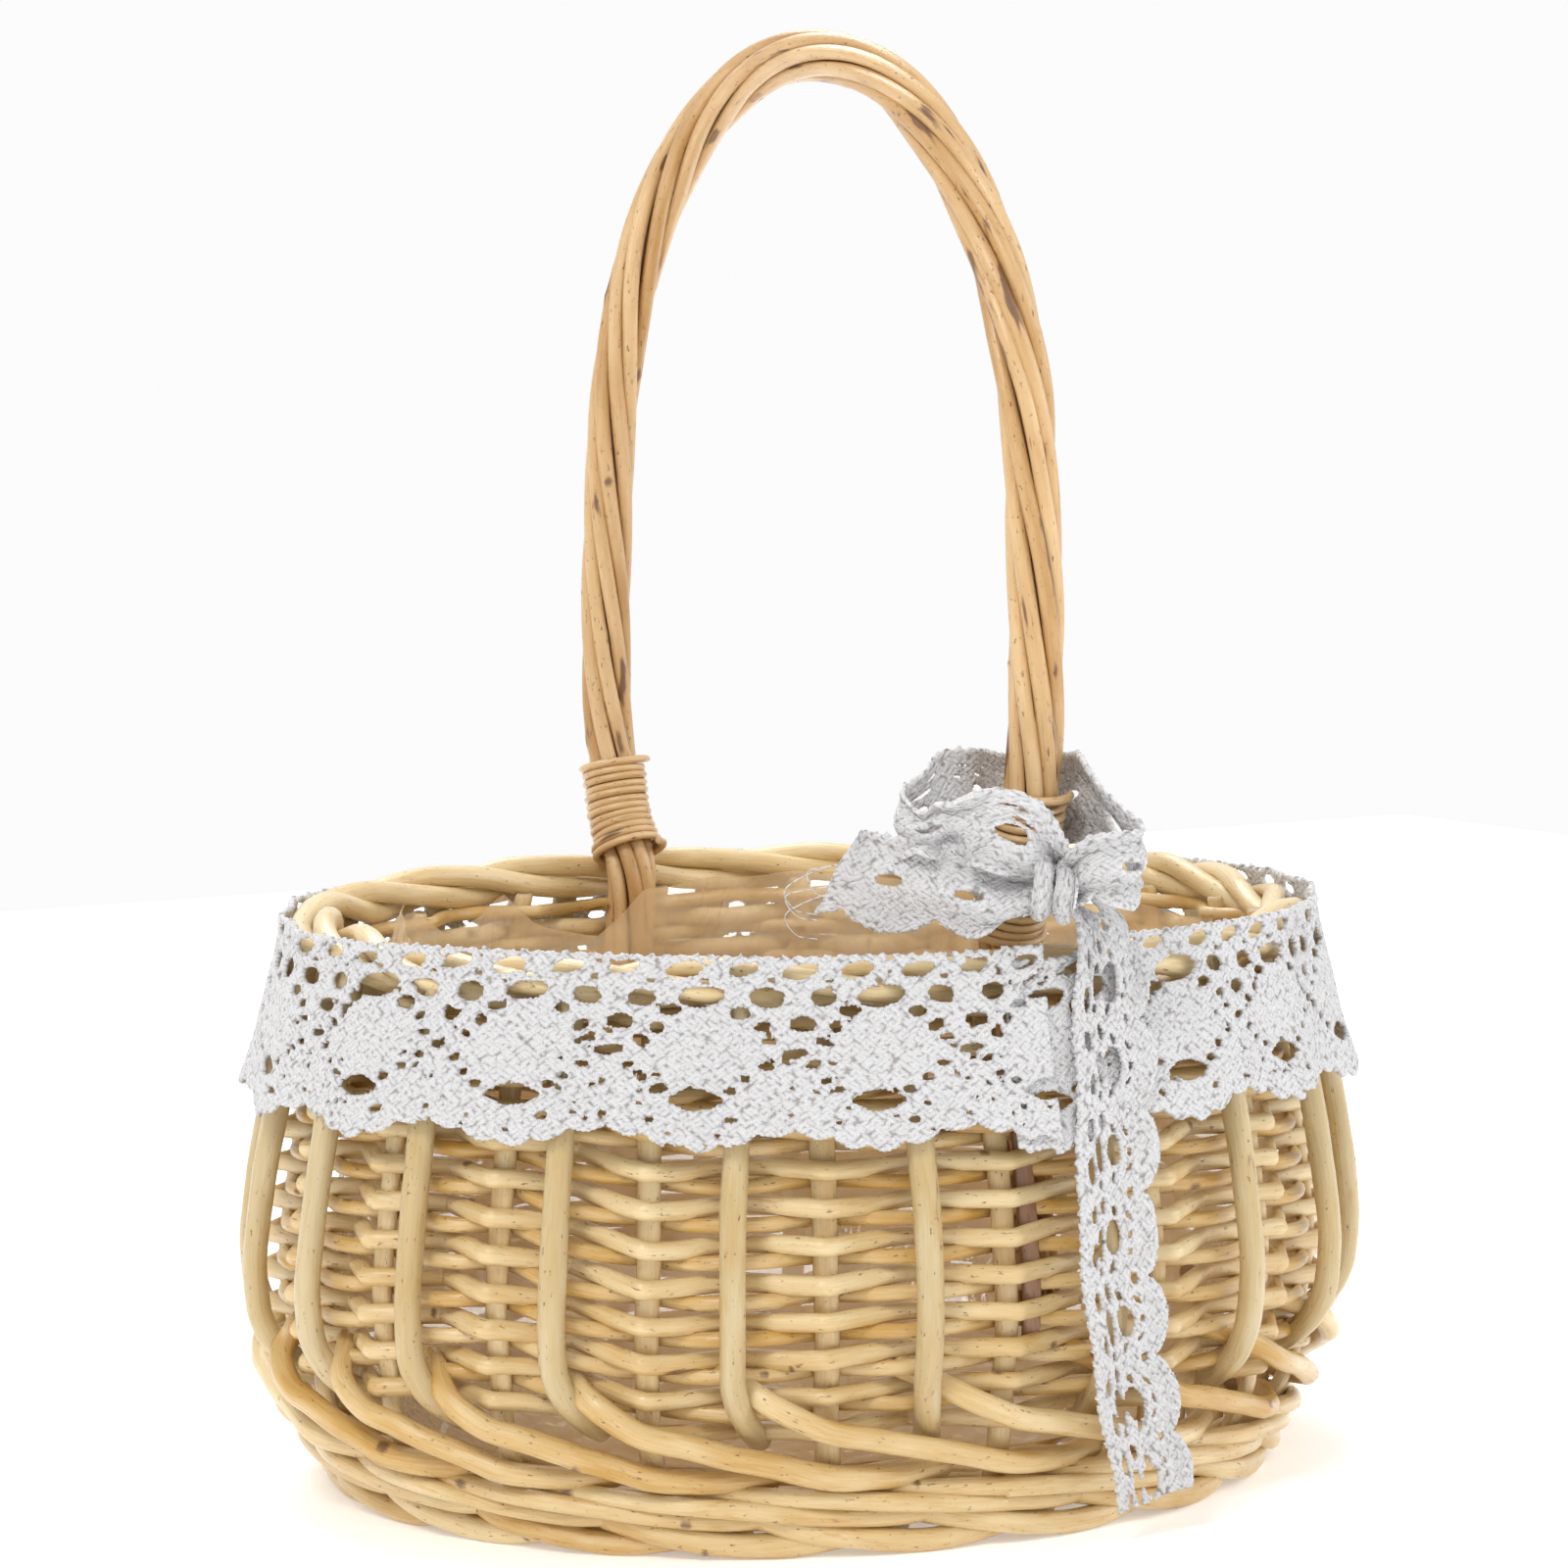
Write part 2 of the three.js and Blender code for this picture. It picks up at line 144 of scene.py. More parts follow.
def outwards(path):
    """Level directions away from the basket's middle, one at each point of a path."""
    return unit(path * [1, 1, 0])


def carried_frame(path):
    """Tangents, and a direction across the path that turns as little as it can."""
    tangent = unit(np.gradient(path, axis=0))
    nearly_upright = abs(tangent[0][2]) >= 0.8
    across = np.empty_like(path)
    last = np.array([1.0, 0.0, 0.0]) if nearly_upright else np.array([0.0, 0.0, 1.0])
    for i, t in enumerate(tangent):
        last = last - t * float(last @ t)
        last = last / np.linalg.norm(last)
        across[i] = last
    return tangent, across


# ---- Materials ----
class Nodes:
    """A new material's node tree, with short ways to add to it."""

    def __init__(self, name):
        self.material = bpy.data.materials.new(name)
        self.material.use_nodes = True
        self.tree = self.material.node_tree
        self.shader = self.tree.nodes["Principled BSDF"]

    def add(self, kind, inputs=(), **settings):
        node = self.tree.nodes.new(kind)
        for key, value in settings.items():
            setattr(node, key, value)
        for key, value in dict(inputs).items():
            self.feed(node.inputs[key], value)
        return node

    def feed(self, socket, value):
        """Link a socket to the value, or set it where the value is a plain one."""
        if isinstance(value, bpy.types.NodeSocket):
            self.tree.links.new(value, socket)
        else:
            socket.default_value = value

    def attribute(self, name, output="Fac"):
        return self.add("ShaderNodeAttribute", attribute_name=name).outputs[output]

    def scaled(self, vector, x, y, z):
        node = self.add("ShaderNodeVectorMath", {0: vector, 1: (x, y, z)}, operation="MULTIPLY")
        return node.outputs["Vector"]

    def noise(self, vector, scale, detail=3.0, rough=0.5):
        inputs = {"Vector": vector, "Scale": scale, "Detail": detail, "Roughness": rough}
        return self.add("ShaderNodeTexNoise", inputs).outputs["Fac"]

    def ramp(self, value, stops):
        """stops are (place, colour or number)."""
        node = self.add("ShaderNodeValToRGB", {"Fac": value})
        elements = node.color_ramp.elements
        while len(elements) < len(stops):
            elements.new(0.5)
        for element, (position, colour) in zip(elements, stops):
            element.position = position
            element.color = (*colour, 1) if isinstance(colour, tuple) else (colour, colour, colour, 1)
        return node.outputs["Color"]

    def math(self, operation, a, b=0.0):
        return self.add("ShaderNodeMath", {0: a, 1: b}, operation=operation).outputs[0]

    def times(self, a, b):
        return self.math("MULTIPLY", a, b)

    def plus(self, a, b):
        return self.math("ADD", a, b)

    def mix(self, factor, a, b):
        """Factor 0 is colour a, 1 is colour b."""
        node = self.add("ShaderNodeMix", data_type="RGBA")
        self.feed(node.inputs[0], factor)
        self.feed(node.inputs[6], a)
        self.feed(node.inputs[7], b)
        return node.outputs[2]

    def bump(self, height, strength, distance):
        inputs = {"Height": height, "Strength": strength, "Distance": distance}
        return self.add("ShaderNodeBump", inputs).outputs["Normal"]

    def finish(self, **sockets):
        """Feed the shader's sockets, whose names have _ for each space."""
        for key, value in sockets.items():
            self.feed(self.shader.inputs[key.replace("_", " ")], value)
        return self.material


def willow_material(name, pale, deep, fleck_amount, patch_amount):
    """Peeled willow: fine grain along the rod, cloudy tone, dark flecks, brown knots and a pale cut end."""
    n = Nodes(name)
    grain = n.attribute("grain", "Vector")
    tint = n.attribute("tint")
    fibre = n.noise(n.scaled(grain, 2.2, 2.2, 0.10), 1.0, 4.0, 0.65)
    cloud = n.noise(n.scaled(grain, 0.25, 0.25, 0.06), 1.0, 2.0)
    stain = n.noise(n.scaled(grain, 0.5, 0.5, 0.09), 1.0, 3.0, 0.65)
    # Each rod's tint moves it between pale and deep: random tone on most rods, painted shade on the rows of
    # the weave that lie behind, and painted light on the inner stakes and the top border's rope.
    level = n.plus(n.plus(n.times(cloud, 0.75), n.times(tint, 0.35)), n.times(fibre, 0.4))
    halfway = tuple((a + b) / 2 for a, b in zip(pale, deep))
    colour = n.ramp(level, [(0.52, pale), (0.78, halfway), (1.0, deep)])
    # Honey-brown stains in long streaks.
    streak = n.ramp(stain, [(0.60, 0.0), (0.74, 1.0)])
    colour = n.mix(n.times(streak, 0.6), colour, (*deep, 1))
    # Flecks left where buds and bark were.
    fleck = n.noise(n.scaled(grain, 1.3, 1.3, 0.5), 1.0, 2.0, 0.7)
    fleck = n.ramp(fleck, [(0.70 - fleck_amount, 0.0), (0.78 - fleck_amount, 1.0)])
    # Patches where the bark was left on.
    left_on = n.noise(n.scaled(grain, 0.3, 0.3, 0.06), 1.0, 2.0, 0.55)
    left_on = n.plus(left_on, n.times(fibre, 0.15))
    left_on = n.ramp(left_on, [(0.80 - patch_amount, 0.0), (0.85 - patch_amount, 1.0)])
    knot = n.times(n.attribute("knot"), n.plus(fibre, 0.45))
    knot = n.ramp(knot, [(0.42, 0.0), (0.75, 1.0)])
    for share, mark in ((0.75, fleck), (0.85, left_on), (0.85, knot)):
        colour = n.mix(n.times(mark, share), colour, (*BARK, 1))
    pith = n.mix(n.noise(n.scaled(grain, 3, 3, 0.1), 1.0), (*PITH, 1), (*OLD_PITH, 1))
    colour = n.mix(n.attribute("cut"), colour, pith)
    rough = n.ramp(n.plus(n.times(fibre, 0.6), n.times(fleck, 0.4)), [(0.2, 0.27), (0.9, 0.52)])
    normal = n.bump(n.plus(fibre, n.times(fleck, -0.8)), 0.6, 0.00035)
    return n.finish(Base_Color=colour, Roughness=rough, Normal=normal, Specular_IOR_Level=0.55,
                    Coat_Weight=0.35, Coat_Roughness=0.3)


BARK = (0.13, 0.05, 0.018)
PITH, OLD_PITH = (0.72, 0.56, 0.33), (0.42, 0.27, 0.12)

# A finish is a material and the slot of the record that it stands for.
WILLOW = willow_material("willow", (0.76, 0.60, 0.33), (0.54, 0.30, 0.055), 0.05, -0.01), "willow"
STAKE_WILLOW = (willow_material("stake_willow", (0.60, 0.485, 0.28), (0.47, 0.30, 0.085), 0.05, -0.01),
                "willow")
HANDLE_WILLOW = (willow_material("handle_willow", (0.72, 0.49, 0.245), (0.50, 0.275, 0.09), 0.06, 0.075),
                 "handle_willow")
# Brown willow: the real brown of an unpeeled rod end, and on the handle's core painted shade for the gaps
# between the strands.
BROWN_WILLOW_AND_GAP_SHADE = (willow_material("brown_willow_and_gap_shade", (0.36, 0.19, 0.10), (0.22, 0.10, 0.045), 0.05, 0),
                "handle_willow")


# ---- Meshes ----
def make_mesh(name, points, faces, finish, attributes):
    """A smooth-shaded piece that rides on the basket, from points in millimetres and quads or triangles."""
    material, slot = finish
    mesh = bpy.data.meshes.new(name)
    mesh.vertices.add(len(points))
    mesh.vertices.foreach_set("co", (np.asarray(points) * MM).astype(np.float32).ravel())
    corners = np.concatenate([np.asarray(f).ravel() for f in faces])
    sizes = np.concatenate([np.full(len(f), np.asarray(f).shape[1]) for f in faces])
    mesh.loops.add(len(corners))
    mesh.loops.foreach_set("vertex_index", corners.astype(np.int32))
    mesh.polygons.add(len(sizes))
    mesh.polygons.foreach_set("loop_start", np.concatenate([[0], np.cumsum(sizes)[:-1]]).astype(np.int32))
    mesh.polygons.foreach_set("use_smooth", np.ones(len(sizes), bool))
    mesh.update(calc_edges=True)
    for key, values in attributes.items():
        values = np.asarray(values, np.float32)
        kind, field = ("FLOAT_VECTOR", "vector") if values.ndim == 2 else ("FLOAT", "value")
        mesh.attributes.new(key, kind, "POINT").data.foreach_set(field, values.ravel())
    mesh.materials.append(material)
    piece = bpy.data.objects.new(name, mesh)
    bpy.context.collection.objects.link(piece)
    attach(piece, "root")
    return piece


def rod(name, path, radius, rng, finish=WILLOW, sides=12, flat=ROUND, out=None, tint=None, knots=0.0):
    """A willow rod along a path. Its radius is one number, or one for each point.

    flat squeezes its section along the directions out, tint takes it from pale (0) to deep (1), and
    knots is how many knots swell on each metre of it.
    """
    path = np.asarray(path, float)
    count = len(path)
    along = lengths(path)
    t = along / along[-1]
    uneven, uneven_every = 0.035, 60
    radius = np.broadcast_to(np.asarray(radius, float), (count,))
    radius = radius * (1 + wander(t, uneven, along[-1] / uneven_every, rng))
    angle = np.arange(sides) * TURN / sides
    swell = np.zeros((count, sides))
    for _ in range(rng.poisson(knots * along[-1] * MM)):
        centre, facing = rng.uniform(0.03, 0.97) * along[-1], rng.uniform(0, TURN)
        near = np.exp(-((along - centre) / rng.uniform(1.0, 2.2)) ** 2)
        swell = np.maximum(swell, near[:, None] * np.clip(np.cos(angle - facing), 0, 1) ** 3)
    if out is None:
        tangent, out = carried_frame(path)
    else:
        tangent = unit(np.gradient(path, axis=0))
        out = unit(out - tangent * np.sum(out * tangent, -1, keepdims=True))
    side = np.cross(tangent, out)
    out_of_round, knot_height = 0.03, 0.14
    three_sided = np.sin(3 * angle[None, :] + wander(t, 3, 2, rng)[:, None])
    lump = 1 + out_of_round * three_sided + knot_height * swell
    spokes = flat * np.cos(angle)[None, :, None] * out[:, None]
    spokes = spokes + np.sin(angle)[None, :, None] * side[:, None]
    rings = path[:, None] + (radius[:, None] * lump)[:, :, None] * spokes
    start = rng.uniform(0, 4000)  # so that no two rods have the same grain
    grain = np.empty((count, sides, 3))
    grain[..., 0] = radius[:, None] * np.cos(angle)
    grain[..., 1] = radius[:, None] * np.sin(angle)
    grain[..., 2] = along[:, None] + start
    grid = np.arange(count * sides).reshape(count, sides)
    step = np.roll(grid, -1, axis=1)
    walls = np.stack([grid[:-1], step[:-1], step[1:], grid[1:]], -1).reshape(-1, 4)
    # Each end is a short bevel and a slightly hollow sawn face.
    lip_share, lip_depth, middle_depth = 0.8, 0.25, 0.15
    points, grains = [rings.reshape(-1, 3)], [grain.reshape(-1, 3)]
    cut = [np.zeros(count * sides)]
    fans = []
    bevels = []
    base = count * sides
    for end, sign in ((0, -1.0), (count - 1, 1.0)):
        ahead = sign * radius[end] * tangent[end]
        lip = path[end] + lip_share * (rings[end] - path[end]) + lip_depth * ahead
        middle = path[end] + middle_depth * ahead
        points += [lip, middle[None]]
        grains += [grain[end] * [lip_share, lip_share, 1], np.array([[0, 0, grain[end, 0, 2]]])]
        cut += [np.ones(sides + 1)]
        ring, lips = grid[end], base + np.arange(sides)
        nexts, lip_nexts = np.roll(ring, -1), np.roll(lips, -1)
        centre = np.full(sides, base + sides)
        if sign > 0:
            bevels.append(np.stack([ring, nexts, lip_nexts, lips], -1))
            fans.append(np.stack([lips, lip_nexts, centre], -1))
        else:
            bevels.append(np.stack([nexts, ring, lips, lip_nexts], -1))
            fans.append(np.stack([lip_nexts, lips, centre], -1))
        base += sides + 1
    points = np.concatenate(points)
    total = len(points)
    shade = rng.uniform(0, 1) if tint is None else tint
    knot = np.concatenate([swell.ravel(), np.zeros(total - count * sides)])
    attributes = {
        "grain": np.concatenate(grains),
        "cut": np.concatenate(cut),
        "knot": knot,
        "tint": np.full(total, shade),
    }
    return make_mesh(name, points, [walls, *bevels, *fans], finish, attributes)


# ---- Camera and light ----
def camera():
    """The camera, a little above the rim and to the left of the front, with a long lens."""
    pitch = math.radians(5.3)
    distance, target_z, aside = 1100, 143.0, -5.0
    right = np.array([math.cos(VIEWED), -math.sin(VIEWED), 0])
    level = np.array([math.sin(VIEWED), math.cos(VIEWED), 0])
    ahead = level * [math.cos(pitch), math.cos(pitch), 0] - [0, 0, math.sin(pitch)]
    eye = aside * right + [0, 0, target_z] - distance * ahead
    data = bpy.data.cameras.new("camera")
    data.lens, data.sensor_width = 120.5, 36
    data.clip_end = 50
    made = bpy.data.objects.new("camera", data)
    made.location = eye * MM
    made.rotation_euler = (math.pi / 2 - pitch, 0, -VIEWED)
    bpy.context.collection.objects.link(made)
    bpy.context.scene.camera = made


def area_light(name, place_m, aim_m, size, power, colour=(1, 1, 1)):
    """A round soft light, its places and size in metres and its power in watts."""
    data = bpy.data.lights.new(name, "AREA")
    data.shape, data.size, data.energy, data.color = "DISK", size, power, colour
    lamp = bpy.data.objects.new(name, data)
    lamp.location = place_m
    direction = np.array(aim_m) - np.array(place_m)
    from_z = math.atan2(math.hypot(direction[0], direction[1]), -direction[2])
    lamp.rotation_euler = (from_z, 0, math.atan2(direction[1], direction[0]) - math.pi / 2)
    bpy.context.collection.objects.link(lamp)


def studio():
    """A pale room: walls near white, a dimmer ceiling, three soft lights, and a white floor."""
    world = bpy.data.worlds.new("studio")
    world.use_nodes = True
    nodes, links = world.node_tree.nodes, world.node_tree.links
    direction = nodes.new("ShaderNodeTexCoord")
    parts = nodes.new("ShaderNodeSeparateXYZ")
    links.new(direction.outputs["Generated"], parts.inputs[0])
    ramp = nodes.new("ShaderNodeValToRGB")
    links.new(parts.outputs["Z"], ramp.inputs["Fac"])
    wall, ceiling = ramp.color_ramp.elements
    wall.position, wall.color = 0.15, (0.97, 0.97, 0.97, 1)
    ceiling.position, ceiling.color = 0.4, (0.72, 0.72, 0.73, 1)
    links.new(ramp.outputs["Color"], nodes["Background"].inputs["Color"])
    bpy.context.scene.world = world
    middle = (0, 0, 0.12)
    area_light("key", (-1.45, -0.95, 1.8), middle, 0.6, 20, (1, 0.98, 0.95))
    area_light("fill", (1.4, -0.9, 0.9), middle, 1.2, 9, (0.98, 0.99, 1))
    area_light("back", (0.3, 1.1, 1.7), middle, 1.2, 24)
    n = Nodes("floor")
    cloud = n.noise(n.add("ShaderNodeTexCoord").outputs["Object"], 3.0)
    colour = n.ramp(cloud, [(0.3, (0.90, 0.90, 0.90)), (0.7, (0.93, 0.93, 0.93))])
    n.finish(Base_Color=colour, Roughness=0.8, Emission_Color=(1, 1, 1, 1), Emission_Strength=0.3)
    mesh = bpy.data.meshes.new("floor")
    half = 1.0
    corners = [(-half, -half, 0), (half, -half, 0), (half, half, 0), (-half, half, 0)]
    mesh.from_pydata(corners, [], [(0, 1, 2, 3)])
    mesh.materials.append(n.material)
    floor = bpy.data.objects.new("floor", mesh)
    bpy.context.collection.objects.link(floor)


# ---- The woven side ----
def kinked(position):
    """A wave that is 1 at whole positions and -1 at halves, bent sharply at each."""
    phase = np.mod(2 * position, 2)
    straight = 2 * np.abs(phase - 1) - 1
    return 0.95 * straight + 0.05 * np.cos(math.pi * phase)


def row_lift(position, level):
    """The rows climb towards the left end of the basket, the lower ones most."""
    most = 6.0
    from_left_end = np.abs(np.mod(place(position) + TURN, TURN) - math.pi)
    return most * smooth(math.radians(50), math.radians(27), from_left_end) * smooth(112, 75, level)


def side_weave(rng):
    """The wall's rows, one rod each, which pass by turns in front of the inner stakes and behind them."""
    # The rows behind take the deeper tones as painted shade, for they lie in the shade of the rows in
    # front.
    in_front = -1, 0, 0.15, 0.3, 1.07, (0, 0.7)
    behind = 1, 0.7, 0, -0.45, 0.84, (0.4, 1)  # thinner, deeper in tone as painted shade, and close under the row above
    count = int(round((ROW_HIGH_Z - ROW_LOW_Z) / ROW_PITCH)) + 1
    for row in range(count):
        side, lift, dip, bulge, thickness, tints = behind if row % 2 else in_front
        start = rng.uniform(0, STAKE_COUNT)
        position = start + np.linspace(-0.2, STAKE_COUNT + 0.6, 1400)
        t = np.linspace(0, 1, len(position))
        outward = side * kinked(position)
        level = ROW_LOW_Z + (row + 0.5) * (ROW_HIGH_Z - ROW_LOW_Z) / count
        level = level + lift
        sway = 0.35 * np.sin(place(position) * 3 + 0.4) + 0.3 * np.sin(place(position) * 7 + level / 18)
        z = level + row_lift(position, level) + sway + wander(t, 0.28, 15, rng) - dip * outward
        ends = 2.5 * (smooth(0.985, 1, t) + smooth(0.015, 0, t))  # the two ends are tucked inside
        depth = WEAVE_DEPTH * (1 + bulge * np.clip(outward, 0, 1)) * (1 + wander(t, 0.08, 11, rng))
        path = evenly(on_wall(position, WALL_MIDDLE - depth * outward + ends, z), 1.1)
        taper = 1.04 - 0.1 * np.linspace(0, 1, len(path))
        radius = WEAVER_R * thickness * taper * rng.uniform(0.93, 1.03)
        piece = rod(f"weaver_{row + 1:02d}", path, radius, rng, flat=0.92, out=outwards(path),
                    tint=rng.uniform(*tints), knots=14)
    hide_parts("side_weave_lower", "side_weave_upper")


def inner_line(z):
    """How far in from the outside an inner stake's centre lies: less far low down, behind the border."""
    low_down = 7.0
    return low_down + (WALL_MIDDLE - low_down) * smooth(18, 36, z)


def stakes(rng):
    """The flat inner stakes, and outside the wall the outer stakes, whose feet bend in under the border."""
    foot_z, tip_z = 7.2, 113
    z = np.linspace(foot_z, tip_z, 60)
    for i in range(STAKE_COUNT):
        position = i + 0.5 + wander(z / tip_z, 0.015, 1, rng) + rng.uniform(-0.02, 0.02)
        path = on_wall(position, inner_line(z), z + rng.uniform(-0.8, 0.8))
        # The inner stakes keep to the paler tones: painted light, for they lie in shade between the rows.
        rod(f"inner_stake_{i + 1:02d}", path, INNER_STAKE_R, rng, flat=0.62, out=outwards(path),
            tint=rng.uniform(0, 0.4), knots=4)
    for i in range(STAKE_COUNT):
        at_front = smooth(0.8, 1, -np.sin(place(i)))
        bend_z = 36 - 3 * at_front + rng.uniform(-1.2, 1.2)
        drift = rng.uniform(-0.04, 0.04)
        # position, distance in from the outside, height
        line = [(i + drift, STAKE_R, tip_z), (i + 0.6 * drift, STAKE_R, 90), (i, STAKE_R - 0.3, 66),
                (i, STAKE_R - 0.2, bend_z + 8), (i, STAKE_R + 0.2, bend_z + 2),
                (i + 0.03, STAKE_R + 1.9, bend_z - 3.2), (i + 0.07, STAKE_R + 5.0, bend_z - 7.0),
                (i + 0.11, STAKE_R + 8.6, bend_z - 10.0), (i + 0.13, STAKE_R + 11, bend_z - 11.5)]
        line = through(line, 90)
        path = evenly(on_wall(line[:, 0], line[:, 1], line[:, 2]), 1.4)
        piece = rod(f"outer_stake_rod_{i + 1:02d}", path, STAKE_R * rng.uniform(0.95, 1.03), rng,
                    STAKE_WILLOW, 14, tint=rng.uniform(0, 0.5), knots=8)
        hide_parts(f"outer_stake_{i + 1:02d}")


# ---- Borders and wales ----
def stroke(name, line, radius, rng, points=110):
    """A bent rod through (position, distance in from the outside, height)."""
    line = through(line, points)
    path = evenly(on_wall(line[:, 0], line[:, 1], line[:, 2]), 1.3)
    return rod(name, path, radius, rng, knots=10)


def upper_border(rng):
    """Stakes laid down to the right over the foot of the weave, each in front of two inner stakes."""
    for i in range(STAKE_COUNT):
        r = 2.45 * rng.uniform(0.94, 1.05)
        dz, dx = rng.uniform(-0.7, 0.7), rng.uniform(-0.03, 0.03)
        line = [(i - 0.1, 12.5, 38), (i + 0.02, 9.6, 36), (i + 0.13, 6.0, 33.8), (i + 0.27, 3.2, 31.0),
                (i + 0.5, 1.7, 26.9 + dz), (i + 0.75, 2.3, 24.6 + dz), (i + 1.0 + dx, 2.5, 22.0 + dz),
                (i + 1.25, 2.5, 19.8 + dz), (i + 1.5, 1.9, 17.4 + dz), (i + 1.72, 3.4, 16.4),
                (i + 1.95, 6.4, 15.8), (i + 2.2, 9.6, 16.0)]
        piece = stroke(f"upper_border_rod_{i + 1:02d}", line, r, rng)
        if i < 3:
            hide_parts(f"upper_wale_{i + 1}")


def lower_wale(rng):
    """Three rods worked together: each passes in front of two inner stakes and behind the third."""
    for strand in range(3):
        line = []
        for k in range(-1, STAKE_COUNT + 2):
            phase = (k - strand) % 3
            inwards = (10.2, 2.1, 2.2)[phase]
            height = (10.6, 12.0, 8.6)[phase]
            line.append((k + 0.5, inwards, height + rng.uniform(-0.3, 0.3)))
            if phase == 0:
                line.append((k + 0.86, 5.6, 12.9 + rng.uniform(-0.3, 0.3)))
            if phase == 1:
                line.append((k + 1.0, 1.9, 10.4))
            if phase == 2:
                line.append((k + 1.0, 4.4, 7.6))
        piece = stroke(f"lower_wale_rod_{strand + 1}", line, 1.9, rng, 1400)
        if strand < 2:
            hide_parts(f"lower_wale_{strand + 1}")


def foot_border(rng):
    """The rods that the basket stands on, each laid over the next."""
    for i in range(STAKE_COUNT):
        r = 2.45 * rng.uniform(0.95, 1.03)
        dx = rng.uniform(-0.05, 0.05)
        line = [(i - 0.1, 8.5, 8.6), (i + 0.1, 4.6, 7.4), (i + 0.35 + dx, 2.4, 5.5), (i + 0.65, 1.6, 3.6),
                (i + 0.95, 1.7, r + 0.1), (i + 1.2, 2.3, r + 0.1), (i + 1.45, 4.0, 3.3),
                (i + 1.7, 6.6, 4.3), (i + 1.95, 9.4, 5.2)]
        piece = stroke(f"foot_border_rod_{i + 1:02d}", line, r, rng)
        if i < 2:
            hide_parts(f"foot_border_{i + 1}")


def top_border(rng):
    """A rope of three rods round the rim."""
    pitch = STAKE_COUNT / 7  # the rope turns seven times on its way round
    for strand in range(3):
        position = np.linspace(-0.3, STAKE_COUNT + 0.3, 800)
        t = np.linspace(0, 1, len(position))
        turn = TURN * (position / pitch + strand / 3)
        lay = 2.75 * (1 + wander(t, 0.08, 12, rng))
        inwards = 2 * BORDER_R + 0.4 + 1.25 * lay * np.cos(turn)
        sag = 3.5 * smooth(-0.15, 0.3, -np.sin(place(position)))  # the front is pulled down a little
        z = BORDER_LOW_Z + 1.9 + lay * np.sin(turn) + wander(t, 0.5, 9, rng) - sag
        path = evenly(on_wall(position, inwards, z), 1.5)
        # The rope gets the palest tone: painted light on its face that is in shade.
        piece = rod(f"top_border_rod_{strand + 1}", path, BORDER_R * rng.uniform(1.0, 1.06), rng,
                    tint=0.02, knots=8)
        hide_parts(f"top_border_{strand + 1}")


# ---- Base ----
def base(rng):
    """Base sticks with rods woven round them in ovals."""
    stick_r, weaver_r = 1.9, 1.75
    cross_z, weave_z, long_z = 4.6, 7.2, 9.4
    cross_half, long_half = 60, 88
    for i in range(4):
        x = (i - 1.5) * 30
        path = evenly(np.array([[x, -cross_half, cross_z], [x, cross_half, cross_z]]), 3)
        piece = rod(f"base_cross_rod_{i + 1}", path, stick_r, rng)
        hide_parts(f"base_cross_stick_{i + 1}")
    for i in range(2):
        y = (i - 0.5) * 12
        path = evenly(np.array([[-long_half, y, long_z], [long_half, y, long_z]]), 3)
        piece = rod(f"base_long_rod_{i + 1}", path, stick_r, rng)
        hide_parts(f"base_long_stick_{i + 1}")
    spokes = 16
    first_radius, ring_pitch, outermost = 14, 4.25, 98
    for ring in range(20):
        radius = first_radius + ring * ring_pitch
        angle = np.linspace(0, TURN * 1.01, int(radius * 4) + 60)
        wave = np.sin(spokes * angle / 2 + math.pi * ring)
        y = (radius - FOOT_AXIS_GAP * (radius / outermost)) * np.sin(angle)
        path = np.stack([radius * np.cos(angle), y, weave_z + 1.5 * wave], -1)
        rod(f"base_weaver_{ring + 1:02d}", evenly(path, 2.2), weaver_r, rng, sides=8)
    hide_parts("base_weave")


# ---- Handle ----
def handle_line():
    """The handle's centre line, from the back foot over the arch to the front foot."""
    def inside(z):
        """How far out a leg stands just inside the wall."""
        return outer_radius(z) - 2 * STAKE_R - WALL_T - AXIS_GAP - HANDLE_ENVELOPE - 5 * CLEAR

    leg = [(inside(z), z) for z in (45, 80, 104)]
    leg += [(inside(WALL_HIGH_Z), 117), (76, 131), (80, 150), (81, 175)]
    leg += [(HANDLE_SHOULDER_Y, HANDLE_SHOULDER_Z)]
    arch = []
    for i in range(1, 10):
        angle = i * math.pi / 10
        rise = (HANDLE_TOP_Z - HANDLE_SHOULDER_Z) * math.sin(angle)
        arch.append((HANDLE_SHOULDER_Y * math.cos(angle), HANDLE_SHOULDER_Z + rise))
    points = leg + arch + [(-y, z) for y, z in reversed(leg)]
    return evenly(through([(0, float(y), z) for y, z in points], 1200), 1.5)


def wound(line, turns, distance, phase):
    """A spiral about the centre line. turns and distance may change along it."""
    tangent = unit(np.gradient(line, axis=0))
    across = np.array([1.0, 0, 0])
    out = np.cross(tangent, across)
    angle = phase + TURN * turns
    return line + distance[:, None] * (np.cos(angle)[:, None] * across + np.sin(angle)[:, None] * out)


